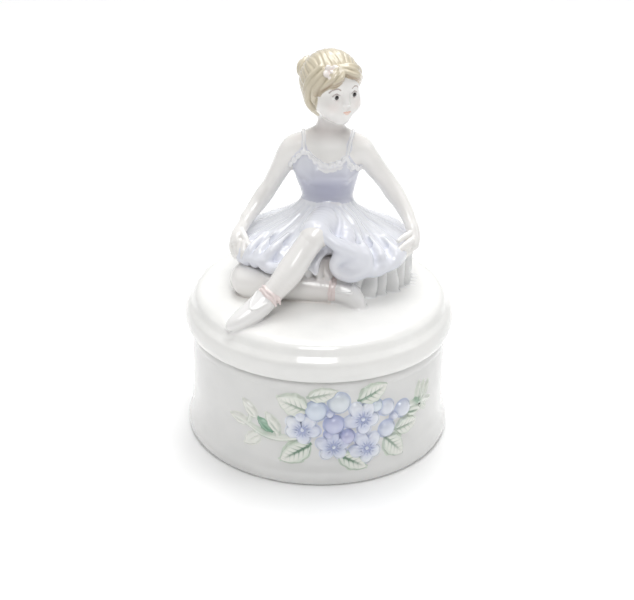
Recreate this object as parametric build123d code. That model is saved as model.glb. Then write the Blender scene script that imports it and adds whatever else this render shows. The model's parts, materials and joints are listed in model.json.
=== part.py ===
from build123d import *
import math
import os

os.makedirs("parts", exist_ok=True)

# Round glazed porcelain musical jewellery box with a lift-off domed lid that carries
# a seated ballerina.  Millimetres, +Z up, origin at the centre of the foot ring's
# resting face, -Y is the front (the side with the flower spray).

# ----------------------------------------------------------------- driving sizes
lid_r = 54.0            # widest radius of the lid's bead
lid_seat_z = 47.2       # underside of the lid, where it sits on the body rim
lid_top_z = 63.8        # crown of the lid's dome
body_r = 51.2           # outer radius of the body wall
foot_r = 53.2           # widest radius of the foot flare
rim_z = 47.05           # top of the body wall
bowl_r = 47.3           # inner radius of the jewellery bowl
floor_z = 33.0          # jewellery bowl floor
floor_t = 3.0           # floor thickness
chamber_r = 46.2        # radius of the movement chamber
ledge_z = 11.3          # ledge that the bottom plate seats against
recess_r = 48.2         # recess in the foot for plate and key
plate_t = 2.0           # bottom plate thickness
flange_ro, flange_ri, flange_z = 46.5, 42.3, 42.7   # lid locating ring

arbor = (-8.0, 4.0)     # winding arbor axis
bed_z = ledge_z + 1.6   # top face of the movement bedplate
drum_z = 23.15          # drum axis height
drum_y = arbor[1]
drum_r = 6.0
pin_tip_r = 6.42
crown_n, pinion_n = 36, 8
crown_pitch_r = 11.5
crown_pitch_z = 20.6
drum_gear_n, gov_pinion_n, module = 24, 8, 0.5
gov_wheel_n = 18
worm_pitch = 1.2
gov_y = drum_y + 8.12
worm_xy = (27.3, gov_y + worm_pitch * gov_wheel_n / (2 * math.pi) + 1.12)
stop_ang = 31.43        # bearing of the stop pin and of the fan seen from the box axis
stop_r = 43.4
lever_r = 39.6          # stop lever's pivot on the same bearing
pin_travel = 2.0


def out(name, shape):
    solids = shape.solids() if hasattr(shape, "solids") else [shape]
    solids = [s for s in solids if s.volume > 0.01]
    thing = solids[0] if len(solids) == 1 else Compound(children=list(solids))
    export_step(thing, f"parts/{name}.step")
    print(f"{name:24s} solids {len(solids):3d} vol {sum(s.volume for s in solids):10.2f}", flush=True)
    return Compound(children=[]) if not solids else thing


def turned(points, smooth=()):
    """Solid of revolution about Z from (r, z) points.  smooth holds (first, last)
    index pairs that are joined by one spline; everything else is straight."""
    edges = []
    i, n = 0, len(points)
    spans = {a: b for a, b in smooth}
    while i < n:
        if i in spans:
            j = spans[i]
            edges.append(Spline(*[(points[k][0], 0, points[k][1]) for k in range(i, j + 1)]))
            i = j
        else:
            j = (i + 1) % n
            edges.append(Line((points[i][0], 0, points[i][1]), (points[j][0], 0, points[j][1])))
            i += 1
        if i >= n:
            break
    face = make_face(edges)
    return revolve(face, Axis.Z)


def cyl(r, z0, z1, x=0.0, y=0.0):
    return Pos(x, y, (z0 + z1) / 2) * Cylinder(r, z1 - z0)


def box(x0, x1, y0, y1, z0, z1):
    return Pos((x0 + x1) / 2, (y0 + y1) / 2, (z0 + z1) / 2) * Box(x1 - x0, y1 - y0, z1 - z0)


def xcyl(r, x0, x1, y, z):
    return Pos((x0 + x1) / 2, y, z) * Rot(0, 90, 0) * Cylinder(r, x1 - x0)


def limb(stations, ruled=False):
    """Rounded limb lofted through circles: stations are (point, radius)."""
    pts = [Vector(*p) for p, _ in stations]
    secs = []
    for i, (p, r) in enumerate(stations):
        a = pts[max(0, i - 1)]
        b = pts[min(len(pts) - 1, i + 1)]
        secs.append(Plane(origin=pts[i], z_dir=(b - a).normalized(), x_dir=Vector(0, 1, 0).cross((b - a).normalized())) * Circle(r))
    return loft(secs, ruled=ruled)


def spheroid(c, r, half, axis=(0, 0, 1)):
    """Ellipsoid of revolution: radius r across, half length along its axis."""
    face = Ellipse(r, half) & Pos(r, 0) * Rectangle(2 * r, 3 * half)
    return Location(Plane(origin=c, z_dir=axis)) * Rot(90, 0, 0) * revolve(face, Axis.Y)


def ball(c, r):
    return Pos(*c) * Sphere(r)


# ------------------------------------------------------------------ porcelain body
body_pts = [
    (50.5, 0.0), (51.9, 0.6), (52.9, 2.2), (53.2, 4.4), (52.75, 6.8), (51.9, 9.2), (51.35, 12.5), (51.2, 18.0),
    (51.25, 30.0), (51.35, 42.0), (51.2, 45.9), (50.6, rim_z),      # 0-11 outer wall
    (47.9, rim_z), (bowl_r, rim_z - 0.6), (bowl_r, floor_z + 1.8), (45.5, floor_z), (0, floor_z),
    (0, floor_z - floor_t), (chamber_r, floor_z - floor_t), (chamber_r, ledge_z), (recess_r, ledge_z), (recess_r, 0.8), (49.0, 0.0),
]
body = turned(body_pts, smooth=[(0, 9), (9, 11)])
sa = math.radians(stop_ang)
sx, sy = stop_r * math.cos(sa), stop_r * math.sin(sa)
body = body - cyl(1.75, floor_z - 4, floor_z + 3, sx, sy)
body_out = body

# ------------------------------------------------------------------ lid
lid_pts = [
    (53.0, lid_seat_z), (53.7, 48.9), (54.0, 51.4), (53.7, 53.8), (52.7, 55.7), (51.6, 56.9),
    (50.75, 58.3), (49.9, 59.9), (48.3, 61.1), (44.0, 61.95), (34.0, 62.95), (20.0, 63.6), (8.0, 63.78), (0, lid_top_z),  # 0-13
    (0, 60.7), (16.0, 60.5), (32.0, 59.7), (41.0, 58.6), (46.2, 57.0), (48.6, 54.6), (48.2, 52.2), (45.8, 49.6), (flange_ri + 0.6, 47.4),       # 14-22
    (flange_ri, 45.6), (flange_ri, flange_z), (flange_ro - 0.3, flange_z), (flange_ro, flange_z + 0.6), (flange_ro, lid_seat_z),
]
lid = turned(lid_pts, smooth=[(0, 13), (14, 22)])
lid = lid - cyl(2.0, 58, 66, 2.5, 9.0)     # casting vent under the figure
lid_out = lid

# ------------------------------------------------------------------ flower spray on the body
def skin(depth):
    """The layer of that depth over the outside of the body wall."""
    return cyl(body_r + depth, 3.5, 46) - body_solid


body_solid = turned([(0, 0)] + body_pts[:12] + [(0, rim_z)], smooth=[(1, 10), (10, 12)])


def on_wall(theta, z, spin=0.0):
    """Location on the wall at angle theta (degrees, 0 is the front, + towards +X), height z,
    with local x along the wall, local y up and local z outward."""
    a = math.radians(theta)
    o = (body_r * math.sin(a), -body_r * math.cos(a), z)
    n = (math.sin(a), -math.cos(a), 0)
    return Location(Plane(origin=o, x_dir=(math.cos(a), math.sin(a), 0), z_dir=n)) * Rot(0, 0, spin)


flowers = [  # theta, z, outer radius
    (-6.4, 25.5, 6.7), (19.5, 29.3, 7.0), (7.1, 18.1, 6.4), (21.6, 16.0, 6.7), (35.3, 26.3, 6.2),
]
berries = [  # theta, z, radius, how far it stands proud of the wall
    (-0.7, 33.7, 4.3, 2.6), (9.1, 37.1, 4.4, 2.4), (7.2, 27.4, 4.0, 2.6), (5.2, 32.4, 1.6, 1.6), (-7.4, 31.0, 2.3, 1.9),
    (13.0, 21.6, 3.1, 2.5), (31.7, 22.0, 3.6, 2.3), (31.2, 31.7, 3.4, 2.2), (40.0, 28.8, 3.7, 2.2), (34.9, 26.7, 1.6, 1.9), (5.1, 23.2, 1.9, 2.0),
]
leaves = [  # theta, z, half length, half width, spin of the long axis from +x
    (-10.8, 36.0, 6.6, 4.6, 160), (2.0, 41.3, 5.8, 3.0, 14), (24.3, 40.0, 6.4, 4.1, 24), (42.5, 20.6, 5.6, 3.6, 2),
    (35.6, 13.4, 6.2, 4.3, -48), (15.4, 10.2, 6.6, 3.3, -30), (-9.4, 14.6, 7.2, 4.4, 214),
    (-23.4, 24.7, 3.7, 1.6, 143), (-19.6, 26.3, 4.7, 2.0, 128), (-30.8, 30.2, 4.5, 2.1, 134), (-36.3, 24.2, 4.7, 2.0, 172), (-29.4, 17.2, 4.8, 2.4, 221),
    (49.8, 32.8, 3.8, 1.3, 84), (55.6, 31.4, 3.6, 1.2, 62), (52.6, 31.8, 3.9, 1.1, 74), (54.0, 25.4, 3.2, 1.4, -52),
]
petal_layer, leaf_layer, stem_layer = skin(1.75), skin(1.15), skin(0.75)
bl = None
for th, z, fr in flowers:
    for k in range(5):
        a = math.radians(72 * k + 18)
        s = on_wall(th, z) * Pos(0.57 * fr * math.cos(a), 0.57 * fr * math.sin(a), 0) * Cylinder(0.43 * fr, 8)
        bl = s if bl is None else bl + s
blossoms = (bl & petal_layer)
for th, z, r, proud in berries:
    b = (on_wall(th, z) * Pos(0, 0, proud - r) * Sphere(r))
    blossoms = blossoms + (b - body_solid)
lf = None
for th, z, a, b, spin in leaves:
    rr = (a * a + b * b) / (2 * b)
    half = math.degrees(math.asin(a / rr))
    lens = make_face([
        ThreePointArc((-a, 0), (0, b), (a, 0)), ThreePointArc((a, 0), (0, -b), (-a, 0))])
    s = on_wall(th, z, spin) * extrude(lens, 4, both=True)
    lf = s if lf is None else lf + s
leaf_solids = (lf & leaf_layer) - blossoms
stems = None
for a, b in (((-32.5, 23.8), (-27.4, 21.8)), ((-27.4, 21.8), (-23.2, 20.2)), ((-23.2, 20.2), (-17.2, 20.5)), ((-17.2, 20.5), (-9.5, 21.4)),
             ((40.0, 29.0), (46.5, 28.6)), ((46.5, 28.6), (53.5, 28.2)), ((53.5, 28.2), (59.0, 26.4))):
    tm, zm = (a[0] + b[0]) / 2, (a[1] + b[1]) / 2
    dx = math.radians(b[0] - a[0]) * body_r
    dz = b[1] - a[1]
    s = on_wall(tm, zm, math.degrees(math.atan2(dz, dx))) * Box(math.hypot(dx, dz) + 0.8, 1.3, 8)
    stems = s if stems is None else stems + s
stem_solids = (stems & stem_layer) - blossoms - leaf_solids

# ------------------------------------------------------------------ bottom plate and sealant
px, py = arbor
screw_at = [(px - 9.5, py - 17.5), (px + 34.0, py - 18.0), (px + 3.0, py + 16.0)]
bottom_plate = cyl(47.8, ledge_z - plate_t, ledge_z) - cyl(3.4, 5, 15, px, py)
for x, y in screw_at:
    bottom_plate = bottom_plate - cyl(1.5, 5, 15, x, y)
sealant = revolve(make_face(Polyline((recess_r - 0.03, 0, ledge_z - plate_t - 0.02), (46.3, 0, ledge_z - plate_t - 0.02), (recess_r - 0.03, 0, ledge_z - plate_t - 1.7), close=True)), Axis.Z)
plate_screws = [cyl(2.5, ledge_z - plate_t - 1.4, ledge_z - plate_t - 0.01, x, y) + cyl(1.25, ledge_z - plate_t - 0.01, bed_z + 2.2, x, y)
                - box(x - 0.3, x + 0.3, y - 3, y + 3, 7.0, ledge_z - plate_t - 0.9) for x, y in screw_at]

# ------------------------------------------------------------------ movement: bedplate and fixed parts
bed = box(-22, 33.0, -23, 25, ledge_z, bed_z)
bed = fillet(bed.edges().filter_by(Axis.Z), 3.0)
bed = bed + Rot(0, 0, stop_ang) * box(28.0, 42.6, -4.0, 4.0, ledge_z, bed_z)
for x, y in screw_at:
    bed = bed + cyl(2.8, bed_z - 0.1, bed_z + 2.6, x, y)
comb_x0, comb_x1 = 7.3, 24.1
bed = bed + box(comb_x0, comb_x1, -20.2, -14.6, bed_z - 0.1, 21.98)
for x0, x1 in ((5.0, 6.4), (27.0, 28.4)):
    up = box(x0, x1, drum_y - 3.4, drum_y + 3.4, bed_z - 0.1, drum_z) + xcyl(3.4, x0, x1, drum_y, drum_z)
    bed = bed + (up - xcyl(0.97, x0 - 1, x1 + 1, drum_y, drum_z))
bed = bed + cyl(4.2, bed_z - 0.1, bed_z + 0.6, px, py)
bed = bed - cyl(2.07, 5, 20, px, py)
for x, y in screw_at:
    bed = bed - cyl(1.3, 5, bed_z + 2.7, x, y)
for x in (comb_x0 + 3.2, comb_x1 - 3.2):
    bed = bed - cyl(0.97, 17.5, 25, x, -17.4)

barrel = cyl(11.5, bed_z + 0.62, 18.45, px, py) - cyl(10.85, bed_z + 1.3, 19, px, py) - cyl(2.4, 10, 20, px, py)

turns, n_per = 6, 16
inner, outer_ = [], []
for i in range(turns * n_per + 1):
    t = 2 * math.pi * i / n_per
    r = 2.9 + (10.5 - 2.9) * i / (turns * n_per)
    inner.append((px + r * math.cos(t), py + r * math.sin(t)))
    outer_.append((px + (r + 0.28) * math.cos(t), py + (r + 0.28) * math.sin(t)))
mainspring = Pos(0, 0, bed_z + 1.45) * extrude(make_face(Polyline(*inner, *reversed(outer_), close=True)), 3.8)

comb = box(comb_x0, comb_x1, -20.2, -14.0, 22.0, 23.5)
pitch = (comb_x1 - comb_x0) / 18
for i in range(18):
    x = comb_x0 + pitch * (i + 0.5)
    comb = comb + box(x - 0.34, x + 0.34, -14.2, drum_y - pin_tip_r - 0.16, 22.85, 23.45)
for x in (comb_x0 + 3.2, comb_x1 - 3.2):
    comb = comb - cyl(1.05, 20, 25, x, -17.4)
comb_screws = [(cyl(1.9, 23.51, 24.8, x, -17.4) + cyl(0.92, 18.2, 23.52, x, -17.4)) - box(x - 0.25, x + 0.25, -20, -14, 24.3, 25) for x in (comb_x0 + 3.2, comb_x1 - 3.2)]

# governor frame
wx, wy = worm_xy
gov_frame = box(21.8, 30.6, 9.6, 21.3, bed_z + 0.01, bed_z + 1.0)
for x0, x1 in ((22.6, 23.4), (29.0, 30.0)):
    up = box(x0, x1, gov_y - 1.2, gov_y + 1.4, bed_z + 0.5, drum_z + 0.6) + xcyl(1.2, x0, x1, gov_y, drum_z + 0.1)
    gov_frame = gov_frame + (up - xcyl(0.72, x0 - 1, x1 + 1, gov_y, drum_z))
gov_frame = gov_frame + box(wx - 1.6, wx + 1.0, 20.5, 21.3, bed_z + 0.5, 28.9) + box(wx - 1.6, wx + 1.0, wy - 1.2, 21.0, 28.1, 28.9)
gov_frame = gov_frame - cyl(0.42, 12.9, 14.5, wx, wy) - cyl(0.42, 28.0, 29.0, wx, wy)
gov_screw_xy = (23.8, 19.0)
gov_frame = gov_frame - cyl(1.05, 12, 15, *gov_screw_xy)
bed = bed - cyl(0.97, 10, 15, *gov_screw_xy)
gov_screw = cyl(1.7, bed_z + 1.01, bed_z + 1.7, *gov_screw_xy) + cyl(0.92, ledge_z + 0.05, bed_z + 1.02, *gov_screw_xy)
gov_screw = gov_screw - box(gov_screw_xy[0] - 0.25, gov_screw_xy[0] + 0.25, 16, 22, bed_z + 1.4, bed_z + 3)

# ------------------------------------------------------------------ winding key and arbor
winding_arbor = cyl(2.0, 2.6, 21.7, px, py) - box(px - 0.35, px + 0.35, py - 3, py + 3, 21.0, 22)
key_hub = cyl(3.1, 2.0, 8.4, px, py)
wing = None
for s in (-1, 1):
    lobe = Pos(px + s * 7.2, py, 4.9) * Rot(90, 0, 0) * Cylinder(3.6, 1.6)
    bridge = box(min(px, px + s * 7.2), max(px, px + s * 7.2), py - 0.8, py + 0.8, 2.9, 6.9)
    part = lobe + bridge - Pos(px + s * 7.2, py, 4.9) * Rot(90, 0, 0) * Cylinder(1.9, 3)
    wing = part if wing is None else wing + part
winding_key = key_hub + wing - cyl(2.0, 2.6, 9, px, py) - cyl(2.02, 2.5, 9, px, py)

# ------------------------------------------------------------------ great wheel (crown gear)
great = cyl(12.5, 19.0, 19.8, px, py) + cyl(3.3, 18.75, 20.9, px, py)
tooth = extrude(make_face(Polyline((-0.52, 0), (0.52, 0), (0.24, 1.35), (-0.24, 1.35), close=True)), 1.7)  # x tangential, y up, z radial
crown_teeth = []
for i in range(crown_n):
    ang = 360.0 / crown_n * (i + 0.5)
    t = Pos(px, py, 19.75) * Rot(0, 0, ang) * Pos(10.65, 0, 0) * Rot(90, 0, 90) * tooth
    crown_teeth.append(t)
great = great.fuse(*crown_teeth)
great = great - cyl(2.07, 15, 25, px, py)
lighten = [cyl(2.4, 18, 21, px + 6.6 * math.cos(math.radians(a)), py + 6.6 * math.sin(math.radians(a))) for a in (30, 150, 270)]
for l in lighten:
    great = great - l


def gear(n, pitch_r, tip, root, w_root, w_pitch, w_tip, phase=0.0):
    """Flat gear outline: widths are tooth widths at root, pitch and tip circles."""
    pts = []
    for i in range(n):
        c = 2 * math.pi * i / n + phase
        for r, w, s in ((root, w_root, -1), (pitch_r, w_pitch, -1), (tip, w_tip, -1), (tip, w_tip, 1), (pitch_r, w_pitch, 1), (root, w_root, 1)):
            a = c + s * w / 2 / r
            pts.append((r * math.cos(a), r * math.sin(a)))
    return make_face(Polyline(*pts, close=True))


def xgear(face, x0, x1, y, z):
    """A flat outline drawn in (a, b) becomes a gear about +X with a along +Y and b along +Z."""
    return Location(Plane(origin=(x0, y, z), x_dir=(0, 1, 0), z_dir=(1, 0, 0))) * extrude(face, x1 - x0)


drum_pinion = xgear(gear(pinion_n, 2.555, 3.0, 1.7, 0.95, 0.72, 0.36, phase=-math.pi / 2), 2.75, 4.3, drum_y, drum_z) - xcyl(0.9, 2, 5, drum_y, drum_z)
drum_gear = xgear(gear(drum_gear_n, 6.0, 6.42, 5.35, 0.82, 0.56, 0.3, phase=0.0), 24.6, 25.8, drum_y, drum_z) - xcyl(0.9, 24, 26, drum_y, drum_z)
drum_arbor = xcyl(0.9, 2.3, 29.2, drum_y, drum_z)
drum = xcyl(drum_r, comb_x0, comb_x1, drum_y, drum_z) - xcyl(5.2, comb_x0 + 1.0, comb_x1 - 1.0, drum_y, drum_z) - xcyl(0.9, 6, 26, drum_y, drum_z)
pins = []
for i in range(18):
    x = comb_x0 + pitch * (i + 0.5)
    for k in range(3):
        a = math.radians((i * 67 + k * 131 + (i * k * 29) % 90) % 360)
        pins.append(Pos(x, drum_y + 6.1 * math.cos(a), drum_z + 6.1 * math.sin(a)) * Rot(math.degrees(a), 0, 0) * Box(0.34, 0.62, 0.34))
drum = drum.fuse(*pins)

gov_pinion = xgear(gear(gov_pinion_n, 2.0, 2.38, 1.35, 0.72, 0.54, 0.26, phase=math.pi / gov_pinion_n + math.pi), 24.4, 26.0, gov_y, drum_z) - xcyl(0.7, 24, 27, gov_y, drum_z)
gw_r = worm_pitch * gov_wheel_n / (2 * math.pi)
gov_wheel = xgear(gear(gov_wheel_n, gw_r, gw_r + 0.36, gw_r - 0.5, 0.62, 0.4, 0.2, phase=0.0), wx - 0.5, wx + 0.5, gov_y, drum_z) - xcyl(0.7, wx - 1, wx + 1, gov_y, drum_z)
gov_arbor = xcyl(0.7, 22.2, 30.4, gov_y, drum_z)

# worm and air brake
worm_core = cyl(0.62, 14.2, 27.9, wx, wy) + cyl(0.36, 13.0, 28.8, wx, wy)
z0, z1 = 20.5, 25.9
helix = Helix(pitch=worm_pitch, height=z1 - z0, radius=0.6)
prof = Plane(origin=helix @ 0, x_dir=(1, 0, 0), z_dir=helix % 0)
sec = prof * make_face(Polyline((-0.08, -0.26), (0.66, -0.12), (0.66, 0.12), (-0.08, 0.26), close=True))
thread = sweep(sec, path=helix, is_frenet=True)
# a tooth gap of the wheel faces the worm at drum_z when the thread stands half a pitch away
turn0 = -360.0 * ((drum_z - z0) / worm_pitch - 0.5) - 90.0
thread = Pos(wx, wy, z0) * Rot(0, 0, turn0 % 360) * thread
worm = worm_core + thread
fan = box(wx - 3.15, wx + 3.15, wy - 0.15, wy + 0.15, 14.8, 17.8) + cyl(1.1, 14.7, 17.9, wx, wy) - cyl(0.62, 14, 19, wx, wy)

# ------------------------------------------------------------------ stop pin, guide, lever and its post
stop_pin = cyl(1.0, 24.5, flange_z - 0.1, sx, sy)
stop_guide = (cyl(1.72, floor_z - floor_t - 0.6, floor_z + 0.02, sx, sy) + cyl(2.0, floor_z + 0.02, floor_z + 0.8, sx, sy)) - cyl(1.06, 20, 40, sx, sy)
spin = Rot(0, 0, stop_ang)
lever = box(35.3, 45.0, -1.2, 1.2, 23.7, 24.4) + Pos(lever_r, 0, 23.7) * Rot(90, 0, 0) * Cylinder(1.5, 2.4) + box(35.5, 36.3, -0.8, 0.8, 16.0, 24.0)
lever = lever - Pos(lever_r, 0, 23.7) * Rot(90, 0, 0) * Cylinder(0.66, 6)
stop_lever = spin * lever
post = box(lever_r - 1.8, lever_r + 1.8, -2.6, 2.6, bed_z + 0.01, bed_z + 1.2)
for s in (-1, 1):
    post = post + box(lever_r - 1.2, lever_r + 1.2, min(s * 1.35, s * 2.3), max(s * 1.35, s * 2.3), bed_z + 0.5, 25.0)
post = post + Pos(lever_r, 0, 23.7) * Rot(90, 0, 0) * Cylinder(0.6, 4.9)
stop_post = spin * post

# ------------------------------------------------------------------ the seated ballerina
def ring(c, rx, ry):
    return Plane(origin=c) * Ellipse(rx, ry)


torso = loft([ring((2.5, 9.5, 70.0), 13.0, 11.0), ring((2.5, 9.5, 80.0), 12.0, 10.0), ring((2.5, 9.0, 90.0), 10.4, 8.2), ring((2.5, 8.6, 96.5), 9.9, 7.6)])
torso = torso + loft([ring((2.5, 8.6, 96.5), 9.9, 7.6), ring((2.2, 8.0, 103.0), 11.2, 8.4), ring((2.2, 7.6, 109.5), 12.8, 8.8), ring((2.2, 7.4, 114.5), 13.6, 8.2)])
torso = torso + loft([ring((2.2, 7.4, 114.5), 13.6, 8.2), ring((2.4, 7.2, 118.0), 11.4, 6.6), ring((2.9, 6.9, 121.0), 6.4, 5.4)], ruled=True)
torso = torso + loft([ring((2.9, 6.9, 121.0), 6.4, 5.4), ring((3.1, 6.4, 125.0), 5.4, 5.2), ring((3.3, 6.0, 133.0), 5.4, 5.2)], ruled=True)
head = spheroid((4.2, 3.4, 144.0), 11.0, 13.2) - torso
hair_core = ball((2.4, 5.6, 147.0), 12.4)
face_cut = Pos(4.2, 3.4, 140.5) * Rot(0, 0, 32) * Pos(0, -14.0, -4.5) * Box(44, 15, 28)
hair = (hair_core - face_cut) - head - torso
bun = ball((-8.2, 13.6, 152.0), 5.2)
hair_flower = ball((-0.6, -6.1, 150.8), 3.0) - hair_core - head

skirt = loft([ring((2.5, 8.4, 97.2), 10.6, 8.3), ring((2.4, 8.0, 92.5), 16.5, 13.0), ring((2.2, 7.4, 87.5), 26.5, 20.5), ring((2.0, 6.6, 83.0), 35.0, 27.5),
              ring((1.8, 6.2, 79.6), 37.6, 29.6)])
skirt = skirt - loft([ring((2.4, 8.0, 89.5), 12.0, 10.0), ring((2.2, 7.4, 84.5), 22.5, 17.0), ring((2.0, 6.6, 80.6), 31.0, 24.0), ring((1.8, 6.2, 79.0), 33.6, 26.0)])
petticoat = loft([ring((2.0, 8.6, 79.5), 30.5, 22.5), ring((2.0, 8.6, 72.0), 29.5, 22.0), ring((2.0, 8.6, 60.0), 27.0, 20.5)])
petticoat = petticoat - loft([ring((2.0, 8.6, 80.0), 27.5, 19.5), ring((2.0, 8.6, 72.0), 26.5, 19.0), ring((2.0, 8.6, 59.0), 24.0, 17.5)])
lid_fill = turned([(0, 40), (53.0, 40)] + lid_pts[:14], smooth=[(2, 15)])
seat = loft([ring((2.5, 9.5, 62.0), 13.5, 11.5), ring((2.5, 9.5, 69.98), 13.0, 11.0)]) - lid_fill

arm_r = ball((-12.4, 7.8, 114.6), 4.5) + limb([((-12.4, 7.8, 114.6), 4.4), ((-17.0, 8.2, 108.0), 4.0), ((-23.6, 8.6, 98.6), 3.5), ((-29.2, 5.6, 91.2), 3.1), ((-33.4, 0.8, 85.2), 2.7)])
arm_l = ball((16.2, 7.8, 114.6), 4.5) + limb([((16.2, 7.8, 114.6), 4.4), ((22.2, 8.2, 107.0), 4.1), ((29.4, 8.2, 97.0), 3.6), ((34.4, 5.2, 90.6), 3.1), ((37.2, 0.6, 86.0), 2.7)])
hand_r = spheroid((-34.4, -2.6, 81.6), 3.3, 4.6, (-0.2, -0.6, -0.8))
hand_l = spheroid((37.4, -2.8, 82.6), 3.3, 4.6, (0.1, -0.6, -0.8))
leg_l = limb([((6.0, -2.0, 82.0), 7.4), ((-3.2, -15.2, 89.6), 6.0), ((-11.6, -20.4, 83.4), 5.4), ((-18.4, -25.2, 75.6), 4.4), ((-22.6, -28.4, 69.8), 3.7)])
leg_r = limb([((-33.2, -7.4, 69.8), 1.6), ((-32.4, -7.6, 69.9), 3.8), ((-30.4, -8.0, 70.0), 5.6), ((-26.5, -9.0, 70.1), 6.4), ((-12.0, -12.4, 70.2), 5.9), ((5.6, -13.4, 69.6), 4.4)], ruled=True)
slipper_l = spheroid((-26.4, -31.4, 66.2), 4.4, 9.6, (-0.72, -0.42, -0.46))
slipper_r = spheroid((11.2, -14.8, 67.4), 4.5, 8.2, (0.88, -0.36, -0.3))

skirt = skirt - torso
arm_r = arm_r - torso - skirt
arm_l = arm_l - torso - skirt
hand_r = hand_r - skirt - arm_r
hand_l = hand_l - skirt - arm_l
petticoat = petticoat - lid_fill - skirt - torso - hand_r - hand_l
leg_l = leg_l - skirt - torso - petticoat
slipper_l = slipper_l - lid_fill - leg_l - leg_r
slipper_r = slipper_r - lid_fill - leg_r - petticoat
torso = torso - seat
leg_l = leg_l.solids().sort_by(SortBy.VOLUME)[-1]

for name, shape in {
    "base_bowl": body_out, "blossom_relief": blossoms, "leaf_relief": leaf_solids, "stem_relief": stem_solids,
    "bottom_plate": bottom_plate, "plate_sealant": sealant, "plate_screws": Compound(children=[s for p in plate_screws for s in p.solids()]),
    "movement_bedplate": bed, "spring_barrel": barrel, "mainspring": mainspring, "music_comb": comb,
    "comb_screws": Compound(children=[s for p in comb_screws for s in p.solids()]), "governor_frame": gov_frame, "governor_screw": gov_screw,
    "stop_pin_guide": stop_guide, "stop_lever_post": stop_post,
    "winding_key": winding_key, "winding_arbor": winding_arbor, "great_wheel": great,
    "music_drum": drum, "drum_arbor": drum_arbor, "drum_pinion": drum_pinion, "drum_gear": drum_gear,
    "governor_wheel": gov_wheel, "governor_pinion": gov_pinion, "governor_arbor": gov_arbor,
    "governor_worm": worm, "air_brake": fan, "stop_pin": stop_pin, "stop_lever": stop_lever,
    "lid": lid_out, "ballerina_seat": seat, "ballerina_torso": torso, "ballerina_head": head, "ballerina_hair": hair, "hair_bun": bun, "hair_flower": hair_flower,
    "tutu_skirt": skirt, "tutu_petticoat": petticoat, "right_arm": arm_r, "left_arm": arm_l, "right_hand": hand_r, "left_hand": hand_l,
    "left_leg": leg_l, "right_leg": leg_r, "left_slipper": slipper_l, "right_slipper": slipper_r,
}.items():
    out(name, shape)
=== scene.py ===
import json
import math

import bpy
import numpy as np
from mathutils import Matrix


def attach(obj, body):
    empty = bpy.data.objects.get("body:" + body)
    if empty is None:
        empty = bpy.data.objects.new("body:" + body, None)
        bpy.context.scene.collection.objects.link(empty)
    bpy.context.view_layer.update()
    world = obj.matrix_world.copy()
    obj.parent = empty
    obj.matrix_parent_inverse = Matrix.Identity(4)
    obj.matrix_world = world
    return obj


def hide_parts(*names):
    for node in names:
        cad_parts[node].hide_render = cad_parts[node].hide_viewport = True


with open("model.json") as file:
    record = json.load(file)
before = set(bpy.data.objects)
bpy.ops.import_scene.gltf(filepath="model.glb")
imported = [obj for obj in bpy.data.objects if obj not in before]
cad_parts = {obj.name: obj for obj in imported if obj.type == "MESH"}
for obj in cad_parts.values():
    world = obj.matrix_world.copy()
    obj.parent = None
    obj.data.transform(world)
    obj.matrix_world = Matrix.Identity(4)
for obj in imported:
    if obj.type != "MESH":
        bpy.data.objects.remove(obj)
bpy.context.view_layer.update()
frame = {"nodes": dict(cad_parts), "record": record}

import openvdb
from mathutils import Matrix, Vector

NODES = frame["nodes"]
f32 = np.float32

# =====================================================================================
# camera, lights, floor
# =====================================================================================
ELEV, ROLL, DIST, LENS = math.radians(27.0), math.radians(1.0), 0.700, 98.45
TARGET = Vector((-0.0010, 0.0, 0.0553))
right = Vector((1, 0, 0))
up = Vector((0, math.sin(ELEV), math.cos(ELEV)))
back = Vector((0, -math.cos(ELEV), math.sin(ELEV)))
c_, s_ = math.cos(ROLL), math.sin(ROLL)
r2, u2 = right * c_ + up * s_, up * c_ - right * s_
cam_data = bpy.data.cameras.new("camera")
cam_data.lens, cam_data.sensor_width = LENS, 36.0
cam_data.clip_start, cam_data.clip_end = 0.01, 20.0
cam = bpy.data.objects.new("camera", cam_data)
loc = TARGET + back * DIST
cam.matrix_world = Matrix(((r2.x, u2.x, back.x, loc.x), (r2.y, u2.y, back.y, loc.y), (r2.z, u2.z, back.z, loc.z), (0, 0, 0, 1)))
bpy.context.scene.collection.objects.link(cam)
bpy.context.scene.camera = cam


def lamp(name, place, size, power, target=(0, 0, 0.07), colour=(1, 1, 1), size_y=None):
    data = bpy.data.lights.new(name, "AREA")
    data.shape = "RECTANGLE" if size_y else "DISK"
    data.size = size
    if size_y:
        data.size_y = size_y
    data.energy = power
    data.color = colour
    o = bpy.data.objects.new(name, data)
    o.location = place
    o.rotation_euler = (Vector(target) - Vector(place)).to_track_quat("-Z", "Y").to_euler()
    bpy.context.scene.collection.objects.link(o)
    return o


lamp("soft_top", (0.05, 0.16, 0.95), 0.62, 4.5, size_y=0.5)
lamp("key_front", (-0.02, -0.62, 0.88), 0.46, 3.9, size_y=0.46)
lamp("window_back", (0.13, 0.78, 0.86), 0.40, 1.3, size_y=0.26)
lamp("window_left", (-0.85, -0.10, 0.50), 0.45, 0.35, size_y=0.5)
lamp("window_right", (0.85, -0.15, 0.50), 0.35, 0.5, size_y=0.5)
lamp("backdrop_light", (0.0, 1.2, 1.6), 1.6, 7.0, target=(0, 1.6, 0), size_y=0.8)

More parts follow.
